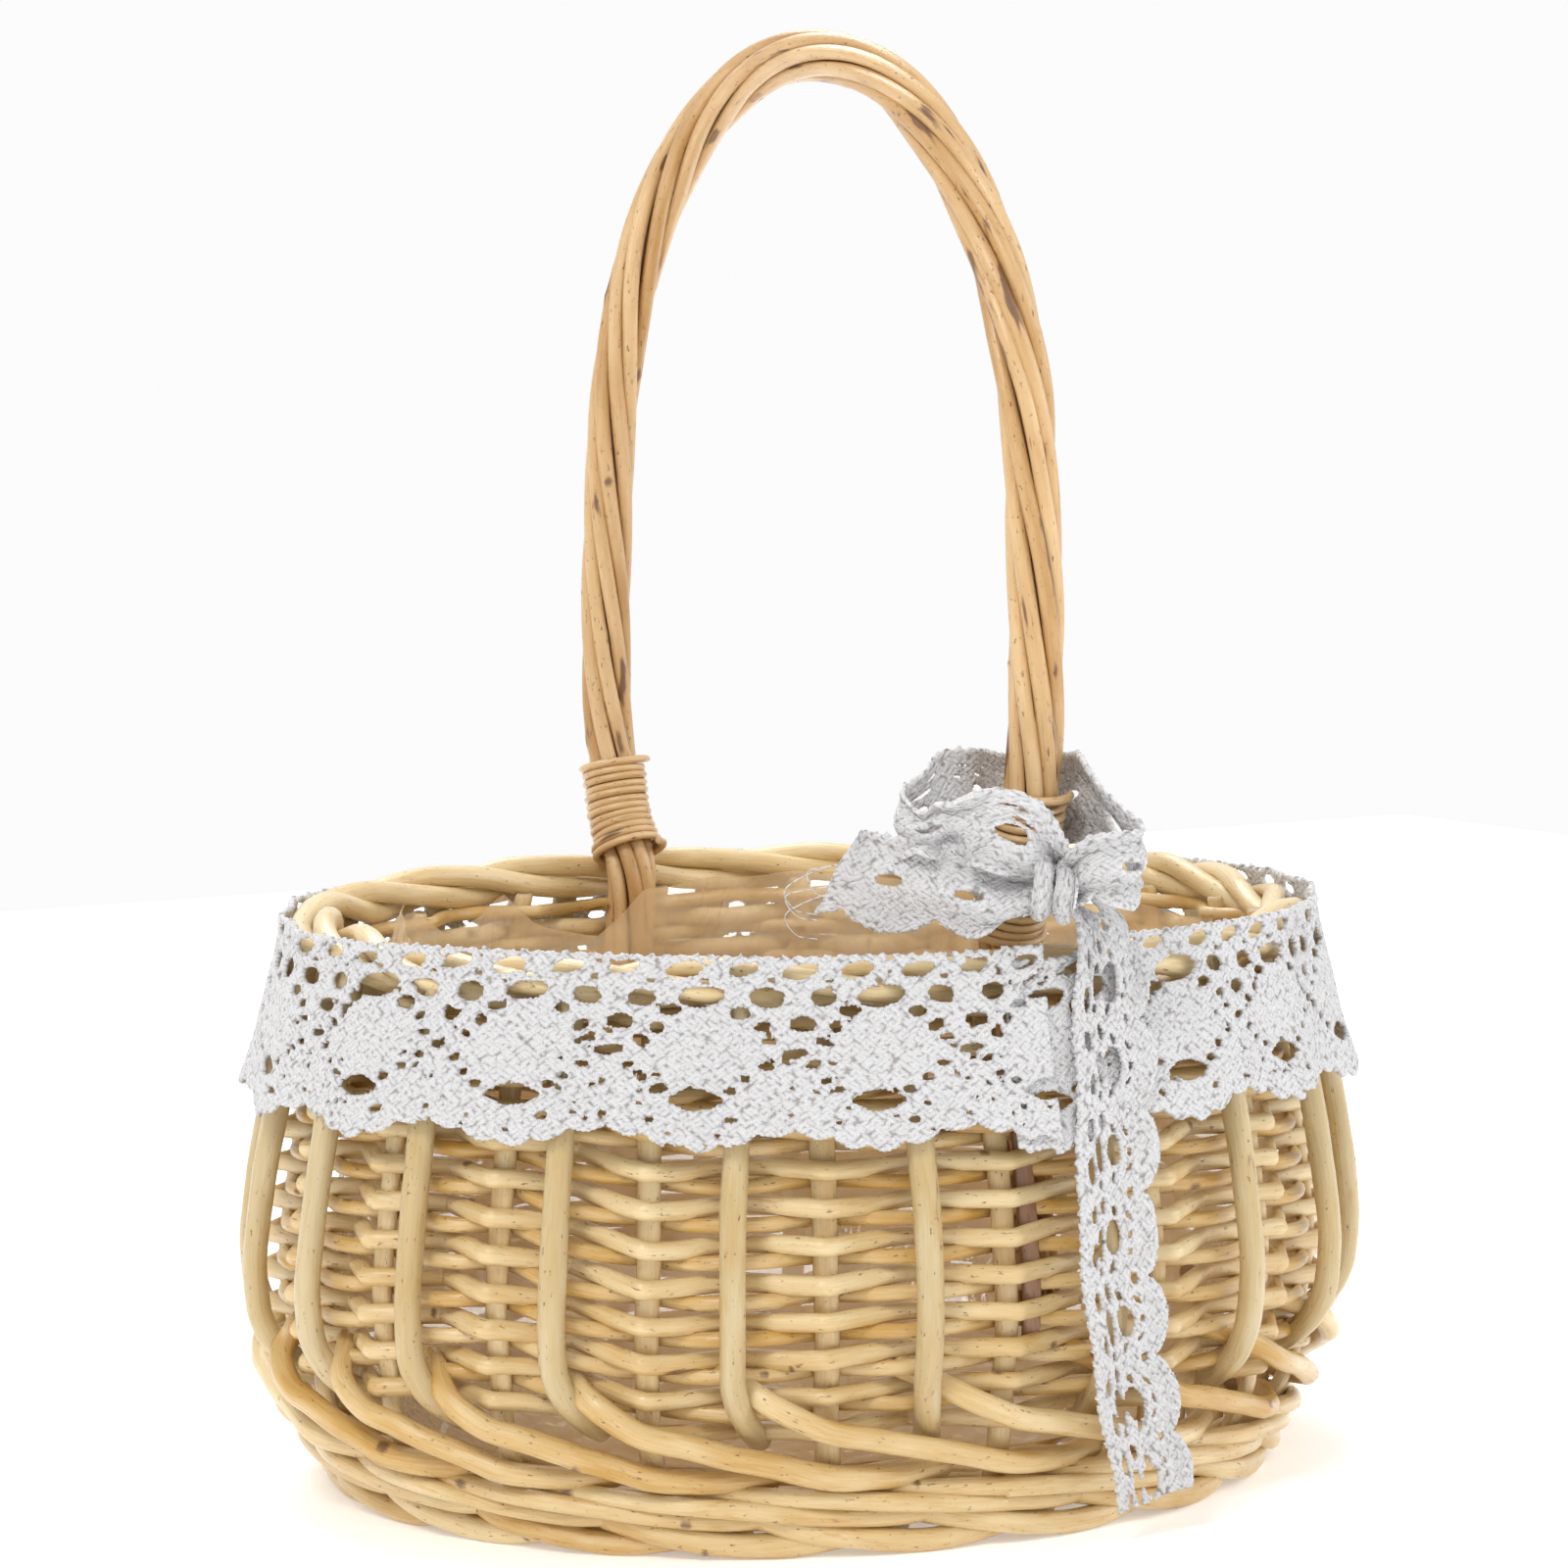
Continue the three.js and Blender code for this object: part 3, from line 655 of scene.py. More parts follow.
def handle(rng):
    """Seven rods twisted round a core coloured brown as painted shade for the gaps between them, the brown
    end of a rod in the wall, and the two bindings.
    """
    core_r = 2.1
    line = handle_line()
    along = lengths(line)
    t = along / along[-1]
    # The core's brown is painted shade: it shows as dark lines in the gaps between the strands.
    core = rod("handle_core_rod", line, core_r, rng, BROWN_WILLOW_AND_GAP_SHADE, 8)
    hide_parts("handle_core")
    for i in range(HANDLE_ROD_COUNT):
        phase = TURN * (i + rng.uniform(-0.1, 0.1)) / HANDLE_ROD_COUNT
        lay = HANDLE_LAY_R * (1 + wander(t, 0.07, 5, rng))
        turns = -along / HANDLE_TWIST_PITCH + wander(t, 0.018, 4, rng)
        path = wound(line, turns, lay, phase)
        thickness = HANDLE_ROD_R * (1 + wander(t, 0.06, 2, rng)) * rng.uniform(0.96, 1.06)
        piece = rod(f"handle_strand_{i + 1}", path, thickness, rng, HANDLE_WILLOW, 14, knots=16)
        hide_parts(f"handle_rod_{i + 1}")
    beside_stake = -0.35  # position: just right of the inner stake left of the front
    end_path = on_wall(beside_stake, WALL_MIDDLE, np.linspace(40, 84, 24))
    rod("handle_rod_end", end_path, core_r, rng, BROWN_WILLOW_AND_GAP_SHADE, flat=FLAT, out=outwards(end_path))
    binding("back", line, (120.5, 142), 12.1, rng)
    binding("front", line[::-1], (118.5, 149), 15.6, rng)


def binding(name, line, heights, turns, rng):
    """A thin rod wound round a leg, its two tips left standing out on the right."""
    thin = 0.86
    count = int((heights[1] - heights[0]) / 1.5) + 1
    part = evenly(line[line[:, 2] > heights[0]][:count], 0.1)
    t = np.linspace(0, 1, len(part))
    spread = 1 + 0.16 * smooth(0.3, 0.0, t) + 0.04 * smooth(0.75, 1.0, t)
    tips = 1.0 * smooth(0.985, 1, t) + 1.5 * smooth(0.015, 0, t)
    distance = (HANDLE_LAY_R + HANDLE_ROD_R + thin) * spread + wander(t, 0.3, 6, rng) + tips
    to_the_right = math.radians(-33)
    phase = to_the_right - TURN * turns
    path = evenly(wound(part, turns * t + wander(t, 0.05, 5, rng), distance, phase), 0.7)
    piece = rod(f"handle_binding_rod_{name}", path, thin, rng, HANDLE_WILLOW, 10, tint=0.1)
    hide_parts(f"handle_binding_{name}")


# ---- Lace ----
def oval_hole(s, t, middle, half, slant=0.0):
    """Distance outside an oval hole, about: negative inside it."""
    ds, dt = s - middle[0], t - middle[1]
    dt = dt - slant * ds
    q = np.sqrt((ds / half[0]) ** 2 + (dt / half[1]) ** 2) + 1e-6
    steepness = np.sqrt((ds / half[0] ** 2) ** 2 + (dt / half[1] ** 2) ** 2) / q + 1e-6
    return np.where(q < 0.3, -0.7 * half[1], (q - 1) / steepness)


def eye_hole(s, t, middle, half):
    """The same for a hole with two pointed ends."""
    ds, dt = s - middle[0], np.abs(t - middle[1])
    lid = half[1] * (1 - (ds / half[0]) ** 2)
    return (dt - lid) / np.sqrt(1 + (2 * half[1] * ds / half[0] ** 2) ** 2)


class WideLace:
    """The band's lace: s runs along it and t down from its straight edge.

    An oval hole is its middle's s and t, its half length and half height, and its slant. An eye is a
    hole with two pointed ends: its middle, and its half length and half height.
    """

    width, repeat, deepest, slits = 37.0, 35.2, 38.0, True
    ovals = [
        (-9.7, 2.9, 3.1, 1.3, -0.12), (1.8, 2.8, 3.0, 1.25, -0.15), (13.3, 2.9, 3.1, 1.35, -0.12),
        (-4.0, 4.9, 0.9, 0.45, 0), (7.5, 4.9, 0.9, 0.4, 0), (17.6, 4.9, 0.8, 0.4, 0),
        (17.4, 8.0, 4.7, 2.0, -0.1), (-5.4, 8.0, 3.1, 1.85, 0.05), (5.6, 8.1, 2.9, 1.8, 0),
        (-10.0, 11.2, 1.9, 1.0, 0), (-6.3, 13.8, 1.5, 0.9, -0.2), (1.6, 13.1, 2.2, 1.2, 0),
        (8.8, 13.7, 1.2, 1.0, 0), (11.4, 10.8, 2.0, 0.9, 0), (-4.4, 16.4, 1.4, 0.6, 0),
        (5.6, 16.2, 1.4, 0.65, 0.2), (0.0, 18.6, 2.3, 0.8, -0.08), (-5.3, 21.1, 1.4, 0.65, 0),
        (3.8, 20.8, 1.3, 0.7, -0.2), (-9.1, 23.5, 1.1, 0.65, 0), (6.4, 23.5, 1.1, 0.7, -0.2),
        (-12.4, 25.6, 1.2, 0.7, 0), (9.2, 25.6, 1.3, 0.75, 0), (-12.2, 31.4, 1.3, 0.6, 0),
        (-1.4, 30.4, 0.8, 0.4, 0), (8.0, 31.6, 0.7, 0.4, 0), (-1.0, 24.6, 0.6, 0.4, 0),
    ]
    eyes = [((16.4, 27.6), (5.6, 2.1))]

    def edge(self, s):
        scallop = 34.1 + 1.8 * np.cos(TURN * (s - 16.4) / self.repeat)
        return scallop + 1.5 * np.abs(np.sin(math.pi * s / 7.04)) ** 0.7

    def top(self, s):
        return 0.25 + 0.25 * np.sin(TURN * s / 2.9)


class NarrowLace:
    """The bow's lace: a straight chain, a ladder of slits and one fan round a large hole to each repeat."""

    width, repeat, deepest, slits = 20.4, 16.8, 21.0, False
    ovals = [
        (-4.6, 3.6, 1.8, 0.6, 0), (3.4, 3.7, 2.1, 0.6, 0), (0.6, 5.9, 3.2, 0.75, 0.05),
        (-6.4, 6.3, 1.5, 0.6, 0.1), (0.3, 9.4, 3.2, 1.9, 0.05), (-4.8, 9.2, 0.8, 0.5, 0.3),
        (5.6, 8.9, 1.0, 0.5, -0.3), (8.4, 13.3, 0.9, 0.6, 0), (-3.4, 12.9, 0.7, 0.35, 0.6),
        (3.6, 13.1, 0.7, 0.35, -0.6), (0.2, 13.7, 0.7, 0.35, 0), (6.0, 5.6, 0.7, 0.35, 0),
    ]
    eyes = []

    def edge(self, s):
        return 15.4 + 4.6 * np.sqrt(np.abs(np.cos(math.pi * s / self.repeat)) + 0.02)

    def top(self, s):
        return 0.3 + 0.25 * np.sin(TURN * s / 2.4)


def scattered(i, j):
    """A number from 0 to 1 that jumps about with i and j."""
    x = np.sin(12.9898 * i + 78.233 * j) * 43758.5453
    return x - np.floor(x)


def small_slits(s, t, repeat):
    """Distance outside small slits scattered between threads, but not in a repeat's dense middle."""
    across, down = 3.1, 2.7
    i, j = np.floor(s / across), np.floor(t / down)
    slit_s = (i + 0.3 + 0.4 * scattered(i, j)) * across
    slit_t = (j + 0.3 + 0.4 * scattered(i, j + 7)) * down
    length = 0.95 * np.clip(scattered(i, j + 13) - 0.5, 0, 1) / 0.5
    half = (length + 0.05, 0.5 * length + 0.03)
    slit = oval_hole(s, t, (slit_s, slit_t), half, 0.5 - scattered(i, j + 29))
    dense_s, dense_t, dense_half_s, dense_half_t = 17, 18, 9, 7
    from_middle = np.mod(slit_s - dense_s, repeat)
    from_middle = np.minimum(from_middle, repeat - from_middle)
    dense = (from_middle / dense_half_s) ** 2 + ((slit_t - dense_t) / dense_half_t) ** 2 < 1
    shortest, far_off = 0.3, 1
    return np.where((length > shortest) & ~dense, slit, far_off)


def lace_field(lace, s, t, tight=0.0):
    """Distance into the cloth from its nearest edge, less than 0 in a hole. The edges are a little ragged.

    tight closes the holes by that distance.
    """
    field = np.minimum(lace.edge(s) - t, t - lace.top(s)) - tight
    count = np.floor(s / lace.repeat + 0.5)
    for shift in (-1, 0, 1):
        number = count + shift
        here = s - number * lace.repeat
        for k, (hole_s, hole_t, half_s, half_t, slant) in enumerate(lace.ovals):
            moved_s = hole_s + 0.9 * (scattered(number, k) - 0.5)
            moved_t = hole_t + 0.6 * (scattered(number, k + 50) - 0.5)
            size = 0.9 + 0.35 * scattered(number, k + 90)
            hole = oval_hole(here, t, (moved_s, moved_t), (half_s * size, half_t * size), slant)
            field = np.minimum(field, hole)
        for middle, half in lace.eyes:
            field = np.minimum(field, eye_hole(here, t, middle, half))
    if lace.slits:
        field = np.minimum(field, small_slits(s, t, lace.repeat))
    ragged = np.cos(TURN * (s + 0.8 * t) / 2.1) * np.cos(TURN * (s - 0.8 * t) / 1.7)
    return field + tight + 0.27 * ragged


def lace_relief(s, t, field):
    """How far threads stand out: a cord along each edge, and plaited cloth between."""
    cord_middle, cord_half, plait_lean, plait_pitch = 0.6, 0.62, 1.1, 1.5
    cord = np.sqrt(np.clip(1 - ((field - cord_middle) / cord_half) ** 2, 0, 1))
    u, v = (s + plait_lean * t) / plait_pitch, (s - plait_lean * t) / plait_pitch
    over = np.mod(np.floor(u) + np.floor(v), 2)
    plait = over * np.abs(np.sin(math.pi * u)) + (1 - over) * np.abs(np.sin(math.pi * v))
    inner = smooth(0.9, 1.5, field)
    return 0.45 * cord * (1 - inner) + (0.1 + 0.4 * plait) * inner


def lace_sheet(name, lace, length, surface, cell, replaced=(), start=0.0, tight=None):
    """Lace as one closed mesh. surface(s, t) gives the points of its middle layer."""
    s_count, t_count = int(length / cell) + 1, int(lace.deepest / cell) + 1
    along_it, down_it = np.linspace(0, length, s_count), np.linspace(0, lace.deepest, t_count)
    s, t = np.meshgrid(along_it, down_it, indexing="ij")
    field = lace_field(lace, s + start, t, tight(s) if tight else 0.0)
    middle = (field[:-1, :-1] + field[1:, :-1] + field[1:, 1:] + field[:-1, 1:]) / 4
    kept = middle > 0
    beside = np.zeros((s_count + 1, t_count + 1), bool)
    beside[1:-1, 1:-1] = kept
    whole = beside[:-1, :-1] & beside[1:, :-1] & beside[1:, 1:] & beside[:-1, 1:]
    # Points on an edge slide onto it, so that holes are round and not stepped.
    slope_s, slope_t = np.gradient(field, cell)
    slope = slope_s**2 + slope_t**2 + 0.05
    slide = np.where(whole, 0, -field / slope)
    most = 0.65 * cell
    slide_s = np.clip(slide * slope_s, -most, most)
    slide_t = np.clip(slide * slope_t, -most, most)
    s, t = np.clip(s + slide_s, 0, length), t + slide_t
    field = np.where(whole, field, 0)
    small = 0.2
    along = surface(s + small, t) - surface(s - small, t)
    down = surface(s, t + small) - surface(s, t - small)
    normal = unit(np.cross(down, along))
    points = surface(s, t)
    raised = lace_relief(s + start, t, field)[..., None]
    half_thickness = 0.25 + raised
    front = points + normal * half_thickness
    back = points - normal * half_thickness
    total = s_count * t_count
    index = np.arange(total).reshape(s_count, t_count)
    a, b, c, d = index[:-1, :-1], index[1:, :-1], index[1:, 1:], index[:-1, 1:]
    quads = [np.stack([a[kept], d[kept], c[kept], b[kept]], -1)]
    quads.append(np.stack([a[kept], b[kept], c[kept], d[kept]], -1) + total)
    inside = beside[1:-1, 1:-1]
    for first, second, other in ((a, b, beside[1:-1, :-2]), (b, c, beside[2:, 1:-1]),
                                 (c, d, beside[1:-1, 2:]), (d, a, beside[:-2, 1:-1])):
        rim = inside & ~other
        p, q = first[rim], second[rim]
        quads.append(np.stack([p, q, q + total, p + total], -1))
    quads = np.concatenate(quads)
    used, quads = np.unique(quads, return_inverse=True)
    points = np.concatenate([front.reshape(-1, 3), back.reshape(-1, 3)])[used]
    cloth = np.stack([s + start, t, np.zeros_like(s)], -1).reshape(-1, 3)
    attributes = {
        "cloth": np.concatenate([cloth, cloth])[used],
        "raised": np.concatenate([raised.ravel(), raised.ravel()])[used],
    }
    piece = make_mesh(name, points, [quads.reshape(-1, 4)], COTTON, attributes)
    if replaced:
        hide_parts(*replaced)
    return piece


def cotton_material():
    """White cotton: short plied threads laid two ways over each other, dull, with painted shade between the
    threads.
    """
    n = Nodes("cotton")
    cloth = n.attribute("cloth", "Vector")
    parts = n.add("ShaderNodeSeparateXYZ", {"Vector": cloth})
    s, t = parts.outputs["X"], parts.outputs["Y"]
    patch = n.noise(n.scaled(cloth, 0.5, 0.5, 0), 1.0, 1.0)
    thread_length, thread_width, ply_along, ply_across = 2.3, 1.0, 0.5, 0.55  # in millimetres
    layers = []
    for lean, seed in ((0.62, 0.0), (-0.62, 40.0)):
        along = n.plus(n.times(s, math.cos(lean)), n.times(t, math.sin(lean)))
        across = n.math("SUBTRACT", n.times(t, math.cos(lean)), n.times(s, math.sin(lean)))
        x, y = n.math("DIVIDE", along, thread_length), n.math("DIVIDE", across, thread_width)
        cell = n.add("ShaderNodeCombineXYZ", {"X": x, "Y": y, "Z": seed})
        inputs = {"Vector": cell.outputs[0], "Scale": 1.0, "Randomness": 0.7}
        near = n.add("ShaderNodeTexVoronoi", inputs, voronoi_dimensions="2D").outputs["Distance"]
        thread = n.math("SUBTRACT", 1.0, n.times(n.times(near, near), 2.6))
        twist = n.plus(n.math("DIVIDE", along, ply_along), n.math("DIVIDE", across, ply_across))
        ply = n.math("SINE", n.times(twist, TURN))
        layers.append(n.plus(thread, n.times(ply, 0.09)))
    tilt = n.times(n.math("SUBTRACT", patch, 0.5), 1.6)  # which of the two layers lies on top
    height = n.math("MAXIMUM", n.plus(layers[0], tilt), n.math("SUBTRACT", layers[1], tilt))
    fuzz = n.noise(n.scaled(cloth, 4, 4, 4), 1.0, 3.0, 0.7)
    height = n.plus(height, n.times(fuzz, 0.35))
    # The colour darkens from the threads' tops down their sides to between them: painted shade in the
    # crevices, which the bump alone doesn't cast.
    between, side, top = (0.44, 0.42, 0.41), (0.63, 0.62, 0.62), (0.75, 0.745, 0.75)
    colour = n.ramp(n.times(height, 0.7), [(0.2, between), (0.40, side), (0.75, top)])
    normal = n.bump(height, 0.85, 0.0006)
    return n.finish(Base_Color=colour, Roughness=n.ramp(fuzz, [(0.3, 0.75), (0.7, 0.95)]), Normal=normal,
                    Sheen_Weight=0.2, Specular_IOR_Level=0.3)


COTTON = cotton_material(), "cotton_lace"


# ---- The band round the rim ----
def lace_band(rng):
    """The wide lace glued round the rim, its two ends lapped beside the tail."""
    angle = np.linspace(0, TURN, 2000)
    middle_z, clear_of_wall = 100, 1.6
    radius = outer_radius(middle_z) + clear_of_wall
    ring = np.stack([radius * np.cos(angle), (radius - AXIS_GAP) * np.sin(angle)], -1)
    round_it = lengths(ring)
    front = slice(1200, 1900)  # of the ring's points, where x only grows
    seam_x = -15.0
    seam = float(np.interp(seam_x, ring[front, 0], round_it[front]))
    length, lap = round_it[-1], 9.0
    last_lattice = 18.0  # from the middle of the last lattice to the cut end
    start = -float(np.mod(length + lap - last_lattice, WideLace.repeat))
    phase = rng.uniform(0, TURN, 4)

    def surface(s, t):
        """A slightly wavy band just outside the wall. Its top sinks and its end stands out at the lap."""
        here = np.interp(np.mod(seam + s, length), round_it, angle)
        z = RIM_Z + 0.3 - t * (1 + 0.01 * np.sin(3 * here + phase[0])) + 0.5 * np.sin(5 * here + phase[1])
        z = z - 2.9 * smooth(30, 12, s)
        out = 1.7 + 0.5 * np.sin(22 * here + phase[2]) + 0.45 * np.sin(9 * here + phase[3] + t / 12)
        out = out + 0.9 * smooth(5, 0, t) * np.sin(13 * here) ** 2
        out = out + 1.5 * smooth(length - 14, length - 4, s)
        flare = 0.8 * smooth(24, 36, t) * (1 + np.sin(17 * here))
        return oval(outer_radius(np.minimum(z, RIM_Z)) + out + flare, here, z)

    band = lace_sheet("lace_band", WideLace(), length + lap, surface, 0.5, ["lace_trim"], start)


# ---- The bow ----
KNOT = np.array([-4.5, -94.0, 131.0])
ASIDE = np.array([math.cos(VIEWED), -math.sin(VIEWED), 0])
FORWARD = np.array([-math.sin(VIEWED), -math.cos(VIEWED), 0])
UP = np.array([0.0, 0.0, 1.0])


def from_knot(aside, up, forward):
    """The place that far from the knot, as the camera sees it."""
    place_at = KNOT + np.multiply.outer(aside, ASIDE) + np.multiply.outer(up, UP)
    return place_at + np.multiply.outer(forward, FORWARD)


def ribbon(rows, pleats, depth, rng, wave=0.6, closed=0.0):
    """A surface for a lace strip, its length, and how far its holes close along it.

    rows are (centre, direction across, share of the width that it is gathered to). Where it is
    gathered the cloth stands in pleats.
    """
    centre = through([r[0] for r in rows], 240)
    across = unit(through([r[1] for r in rows], 240))
    gather = through([[r[2]] for r in rows], 240)[:, 0]
    along = lengths(centre)
    normal = unit(np.cross(across, np.gradient(centre, axis=0)))
    half = NarrowLace.width / 2
    phase = rng.uniform(0, TURN, 3)

    def surface(s, t):
        def at(values):
            return np.stack([np.interp(s, along, values[:, k]) for k in range(3)], -1)

        squeeze = np.interp(s, along, gather)
        fold = np.sqrt(np.clip(1 - squeeze**2, 0, 1)) * depth
        ripple = fold * np.sin(TURN * pleats * t / (2 * half) + phase[0] + 0.06 * s)
        ripple = ripple + wave * np.sin(s / 4.1 + phase[1] + t / 9)
        ripple = ripple + 0.5 * wave * np.sin(t / 2.9 + phase[2])
        return at(centre) + ((half - t) * squeeze)[..., None] * at(across) + ripple[..., None] * at(normal)

    def tight(s):
        return 1.3 * (1 - np.interp(s, along, gather)) + closed

    return surface, along[-1], tight


def bow_strip(name, rows, pleats, depth, rng, replaced, cell=0.42, start=0.0, wave=0.6,
              closed=0.0):
    """A strip of the narrow lace, standing in for the CAD parts that it hides."""
    surface, length, tight = ribbon(rows, pleats, depth, rng, wave, closed)
    piece = lace_sheet(name, NarrowLace(), length, surface, cell, replaced, start, tight)
    return piece


def seen_rows(table):
    """Rows for a ribbon from rows of aside, up, forward, share of the width and how its width leans.

    The first three are the distances from the knot. The width stands upright, or it leans aside and
    forward by the last two, which may be left out.
    """
    rows = []
    for aside, up, forward, share, *lean in table:
        lean_aside, lean_forward = [*lean, 0, 0][:2]
        across = unit(UP + lean_aside * ASIDE + lean_forward * FORWARD)
        rows.append((from_knot(aside, up, forward), across, share))
    return rows


SLANTED = 12.8 / 11.3
LEFT_LOOP = [
    (0.5, 2, 2, 0.42, SLANTED), (-4, 6, 6.5, 0.68, SLANTED), (-9.5, 10.5, 8.5, 0.92, SLANTED),
    (-15.5, 11.5, 7.5, 0.85, 0.35), (-21, 11.5, 5.5, 0.6, 0, 0.6), (-26, 10, 3, 0.55, 0, -0.9),
    (-29.5, 10, -3, 0.8, 0, -0.3), (-27, 11.5, -9, 0.97, 0.2), (-20, 15.5, -12, 0.98, -0.2),
    (-14.5, 15.5, -17, 0.95), (-11.5, 15, -23, 0.9), (-5, 14, -29, 0.85),
]
RIGHT_LOOP = [
    (1.5, 0, 3, 0.45), (6, 2.8, 7, 0.7, -0.1), (11, 3.4, 7.5, 0.76, -0.05), (15.5, 3.4, 2, 0.8, 0.1),
    (15, 6.5, -5, 0.9, -0.3), (11, 12.5, -10, 0.97, -0.35), (7.5, 15, -15, 0.95, -0.2),
    (2.5, 14.5, -23, 0.9), (-4, 14, -29, 0.85),
]
LEFT_END = [
    (-1, -1, 2, 0.42), (-6, -2.5, 4.5, 0.55, 0.3), (-13, -2.8, 5, 0.72, 0.2), (-21, -1.4, 3.4, 0.88, -0.15),
    (-29, -0.4, 2.4, 0.96, 0.1), (-36.5, 0.2, -0.6, 0.97, 0.05), (-42.5, 1.4, -3.6, 0.97, 0.5),
]
TIE_ROUND_LEG = [(-9.5, -86), (-9.5, -76), (-5, -68), (5, -68), (9.5, -76), (8, -86)]  # x, y
TAIL_FREE_Z = 40  # the tail hangs free of the wall below this
TAIL_LINE = [  # x, height, distance out from the wall, share of the width, lean of the direction across
    (3.5, 129, 1.5, 0.45, 0.1), (7.5, 123, 4.8, 0.68, 0.1), (9.2, 116, 5.0, 0.85, 0.05),
    (8.8, 107, 4.2, 0.95, 0), (7.8, 95, 3.8, 0.99, 0), (6.6, 81, 3.4, 0.98, 0), (5.8, 67, 2.0, 0.97, 0),
    (6.2, 53, 1.6, 0.98, -0.03), (8.4, 39, 2.0, 0.98, -0.1), (11.4, 27, 2.4, 0.98, -0.16),
    (14.2, 17, 3.0, 0.98, -0.18), (16.4, 8, 3.8, 0.98, -0.18),
]


def tie_rows():
    """The tie: from the knot round the back of the leg and back to the knot, level all the way."""
    gathered = 0.45
    round_leg = [np.array([x, y, KNOT[2]]) for x, y in TIE_ROUND_LEG]
    places = [from_knot(0, 0, 3), *round_leg, from_knot(2, 0, 3)]
    return [(place_at, UP, gathered) for place_at in places]


def tail_rows():
    """The tail: down the outside of the wall, then free of it."""
    rows = []
    for x, z, out, share, turned in TAIL_LINE:
        wall_z = min(max(z, TAIL_FREE_Z), RIM_Z)
        depth = float(outer_radius(wall_z)) - AXIS_GAP - 0.10 * max(TAIL_FREE_Z - z, 0)
        rows.append((np.array([x, -depth - out, z]), unit(np.array([-1.0, 0, turned])), share))
    return rows


def knot_rows():
    """The knot: a strip wrapped round the front, from top to bottom."""
    rows = []
    for a in np.linspace(-2.4, 2.4, 9):
        bulge = 1 + 0.12 * math.cos(2 * a)
        up, forward = -1.4 + 5.7 * math.sin(a) * bulge, 2.5 + 6.4 * math.cos(a)
        rows.append((from_knot(-0.4 + 0.5 * math.sin(a), up, forward), unit(-ASIDE + 0.2 * UP), 0.42))
    return rows


def bow(rng):
    """Narrow lace tied round the front foot of the handle: two loops, two ends, a knot and the tie."""
    bow_strip("bow_tie", tie_rows(), 2.5, 1.0, rng, ["bow_wrap"], 0.6, wave=0.3)
    bow_strip("bow_loop_left_strip", seen_rows(LEFT_LOOP), 1.8, 1.3, rng,
              ["bow_loop_left", "bow_loop_upper"], start=3.0, closed=0.3)
    bow_strip("bow_loop_right_strip", seen_rows(RIGHT_LOOP), 2.0, 1.1, rng,
              ["bow_loop_right", "bow_loop_back"], start=1.5, closed=0.7)
    threads = [loose_thread(i, rng) for i in range(4)]
    bow_strip("bow_end_left", seen_rows(LEFT_END), 1.6, 2.0, rng, [], start=1.0, wave=1.1,
              closed=0.9)
    bow_strip("bow_tail_strip", tail_rows(), 1.5, 1.3, rng, ["bow_tail"], start=-3.0,
              wave=0.55, closed=-0.2)
    bow_strip("bow_knot_strip", knot_rows(), 2.0, 0.8, rng, ["bow_knot"], 0.36,
              wave=0.8, closed=0.4)


def loose_thread(i, rng):
    """A thread come loose from the cut end, in a wide curl."""
    thread_r, sides = 0.13, 5
    start = np.array([-43.0 + rng.uniform(-2, 2), rng.uniform(-3, 5), -3.0])
    reach = rng.uniform(5, 11)
    bend = rng.uniform(-6, 2)
    line = [start, start + [-0.5 * reach, 0.3 * bend, 2], start + [-reach, bend, 3],
            start + [-0.8 * reach, bend - 4, 2], start + [-0.4 * reach, bend - 5, 1]]
    path = evenly(through([from_knot(*q) for q in line], 60), 0.8)
    tangent, across = carried_frame(path)
    side = np.cross(tangent, across)
    angle = np.arange(sides) * TURN / sides
    ring = np.cos(angle)[None, :, None] * across[:, None] + np.sin(angle)[None, :, None] * side[:, None]
    points = (path[:, None] + thread_r * ring).reshape(-1, 3)
    grid = np.arange(len(points)).reshape(-1, sides)
    turned = np.roll(grid, -1, axis=1)
    walls = np.stack([grid[:-1], turned[:-1], turned[1:], grid[1:]], -1).reshape(-1, 4)
    caps = [grid[:1, ::-1], grid[-1:]]
    along = np.repeat(lengths(path), sides)
    attributes = {"cloth": np.stack([along, along * 0, along * 0], -1), "raised": np.full(len(points), 0.4)}
    return make_mesh(f"loose_thread_{i + 1}", points, [walls, *caps], COTTON, attributes)


# ---- Liner ----
def film_material():
    """Clear film, hazy in places and sharply creased. Its golden colour is painted: the willow seen through
    it, and warm shade behind the gaps of the weave.
    """
    n = Nodes("clear_film")
    place_at = n.add("ShaderNodeTexCoord").outputs["Object"]
    crease = n.noise(n.scaled(place_at, 60, 60, 25), 1.0, 4.0, 0.6)
    haze = n.noise(n.scaled(place_at, 40, 40, 40), 1.0, 2.0)
    # The golden tones are painted: they stand in for the willow seen through the clear film and for painted
    # shade in the weave's gaps.
    colour = n.ramp(haze, [(0.35, (0.85, 0.64, 0.39)), (0.65, (0.92, 0.76, 0.53))])
    normal = n.bump(crease, 0.9, 0.004)
    return n.finish(Base_Color=colour, Roughness=n.ramp(haze, [(0.3, 0.12), (0.7, 0.26)]), Normal=normal,
                    Alpha=0.52, Specular_IOR_Level=0.9)


# Angle in degrees round the oval and height of the film's top edge: it stands up at the left end, dips
# behind the back foot of the handle, and leans on the wall elsewhere.
FILM_TOP = [
    (0, 111), (30, 110), (60, 116), (85, 117), (94, 116), (99.5, 105), (107, 109), (115, 116), (121, 113),
    (128, 109), (138, 116.5), (147, 114), (160, 121), (175, 114), (200, 110), (250, 109), (300, 111),
    (340, 112),
]


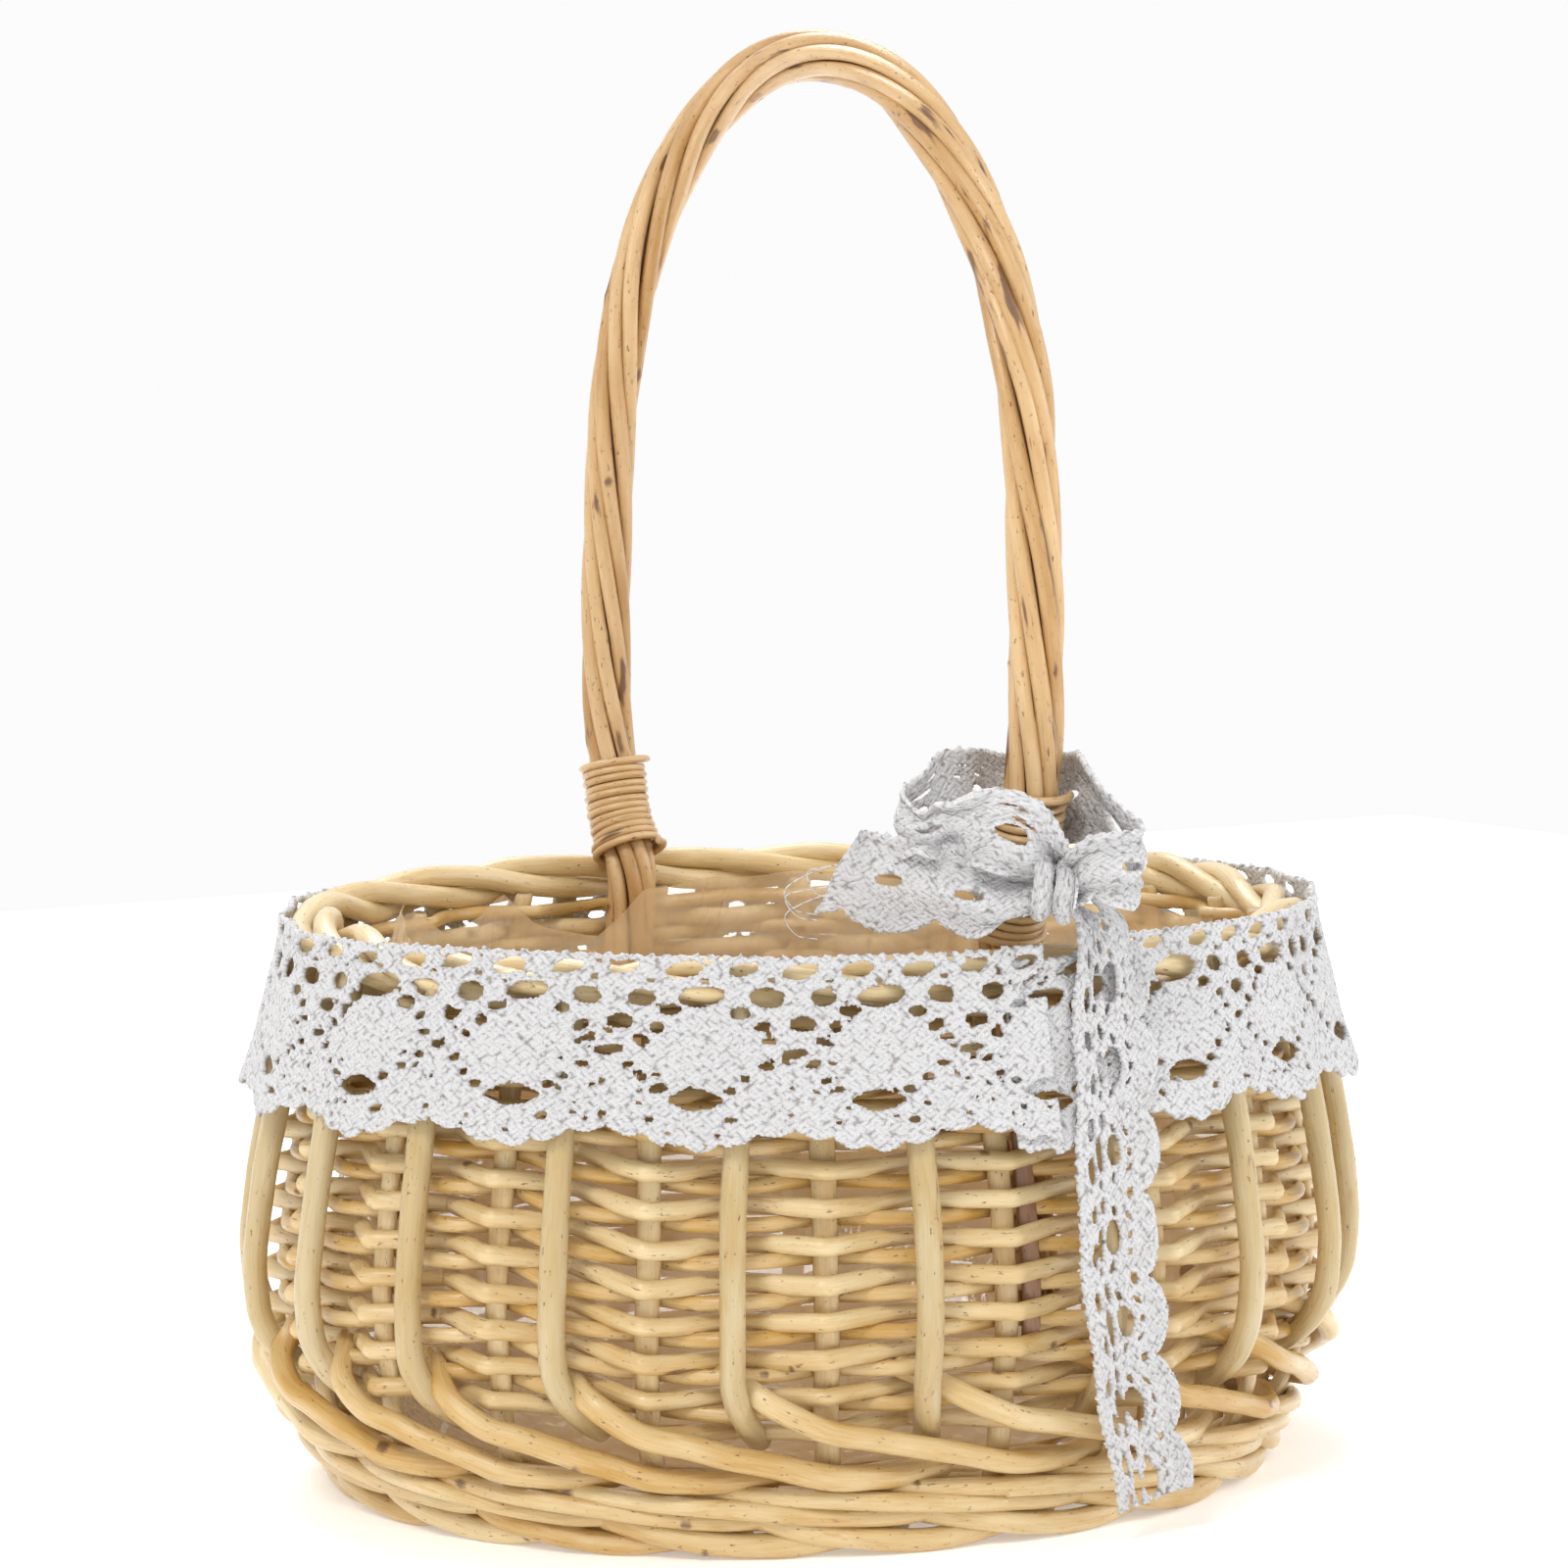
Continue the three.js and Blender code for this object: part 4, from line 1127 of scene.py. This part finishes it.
def liner(rng):
    """Clear film pushed down into the basket: one sheet with sharp creases and a ragged, wavy top."""
    around, rise = 420, 90  # points round the sheet, and rows from its middle to its top edge
    floor_z = 14.6
    angle = np.linspace(0, TURN, around, endpoint=False)
    at, height = np.array(FILM_TOP).T
    top = np.interp(np.degrees(angle), at, height, period=360) + 0.5 * np.sin(23 * angle)
    folds = [(rng.integers(7, 27), rng.uniform(0, TURN), rng.uniform(0.5, 1.6)) for _ in range(7)]
    share = np.linspace(0, 1, rise)[None, :]
    floor_share = 0.34  # of the rows, the rest climb the wall
    on_floor = np.clip(share / floor_share, 0, 1)
    climb = np.clip((share - floor_share) / (1 - floor_share), 0, 1)
    a = angle[:, None]
    z = floor_z + (top[:, None] - floor_z) * climb
    inside_weave = WALL_MIDDLE + WEAVE_DEPTH + WEAVER_R + 1.6
    wall = outer_radius(z) - inside_weave - 5 * smooth(40, 15, z)
    crumple = 0
    for count, phase, size in folds:
        slant = rng.uniform(-0.03, 0.03)
        wave = np.sin(count * a / 2 + phase + slant * z * count / 4 + 0.5 * np.sin(z / 17 + phase))
        crumple = crumple + size * np.abs(wave)
    from_foot = np.abs(np.abs(np.mod(a + math.pi, TURN) - math.pi) - math.pi / 2)
    dent = 11 * np.exp(-((from_foot / math.radians(13)) ** 4))  # round the feet of the handle
    climbing = wall - 0.85 * crumple * (0.3 + climb) - dent * smooth(30, 45, z)
    radius = np.where(climb > 0, climbing, wall[:, :1] * on_floor)
    z = z + 0.7 * crumple * on_floor * (1 - on_floor) * 3 * (climb == 0)
    squash = smooth(0, 60, radius)
    x = radius * np.cos(a)
    y = (radius - axis_gap(z) * np.where(climb > 0, 1, squash)) * np.sin(a)
    points = np.stack([x, y, z], -1)
    grid = np.arange(around * rise).reshape(around, rise)
    after = np.roll(grid, -1, axis=0)
    quads = np.stack([grid[:, 1:-1], grid[:, 2:], after[:, 2:], after[:, 1:-1]], -1).reshape(-1, 4)
    middle = around * rise
    fan = np.stack([grid[:, 1], after[:, 1], np.full(around, middle)], -1)
    points = np.concatenate([points.reshape(-1, 3), [[0, 0, floor_z]]])
    used, flat = np.unique(np.concatenate([quads.ravel(), fan.ravel()]), return_inverse=True)
    quads, fan = flat[: quads.size].reshape(-1, 4), flat[quads.size:].reshape(-1, 3)
    piece = make_mesh("film_liner", points[used], [quads, fan], (film_material(), "clear_film"), {})
    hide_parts("liner")


# ---- Putting it together ----
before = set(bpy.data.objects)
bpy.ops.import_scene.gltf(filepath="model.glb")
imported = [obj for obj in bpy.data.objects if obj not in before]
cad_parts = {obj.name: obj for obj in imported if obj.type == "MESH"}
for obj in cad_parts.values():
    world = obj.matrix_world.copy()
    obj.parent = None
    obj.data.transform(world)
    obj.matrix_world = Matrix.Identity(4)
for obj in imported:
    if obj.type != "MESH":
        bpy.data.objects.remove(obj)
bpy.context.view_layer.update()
bpy.context.scene.view_settings.view_transform = "Standard"
camera()
studio()
side_weave(np.random.default_rng(1))
stakes(np.random.default_rng(2))
upper_border(np.random.default_rng(3))
lower_wale(np.random.default_rng(4))
foot_border(np.random.default_rng(5))
top_border(np.random.default_rng(6))
base(np.random.default_rng(7))
handle(np.random.default_rng(8))
lace_band(np.random.default_rng(9))
bow(np.random.default_rng(10))
liner(np.random.default_rng(11))
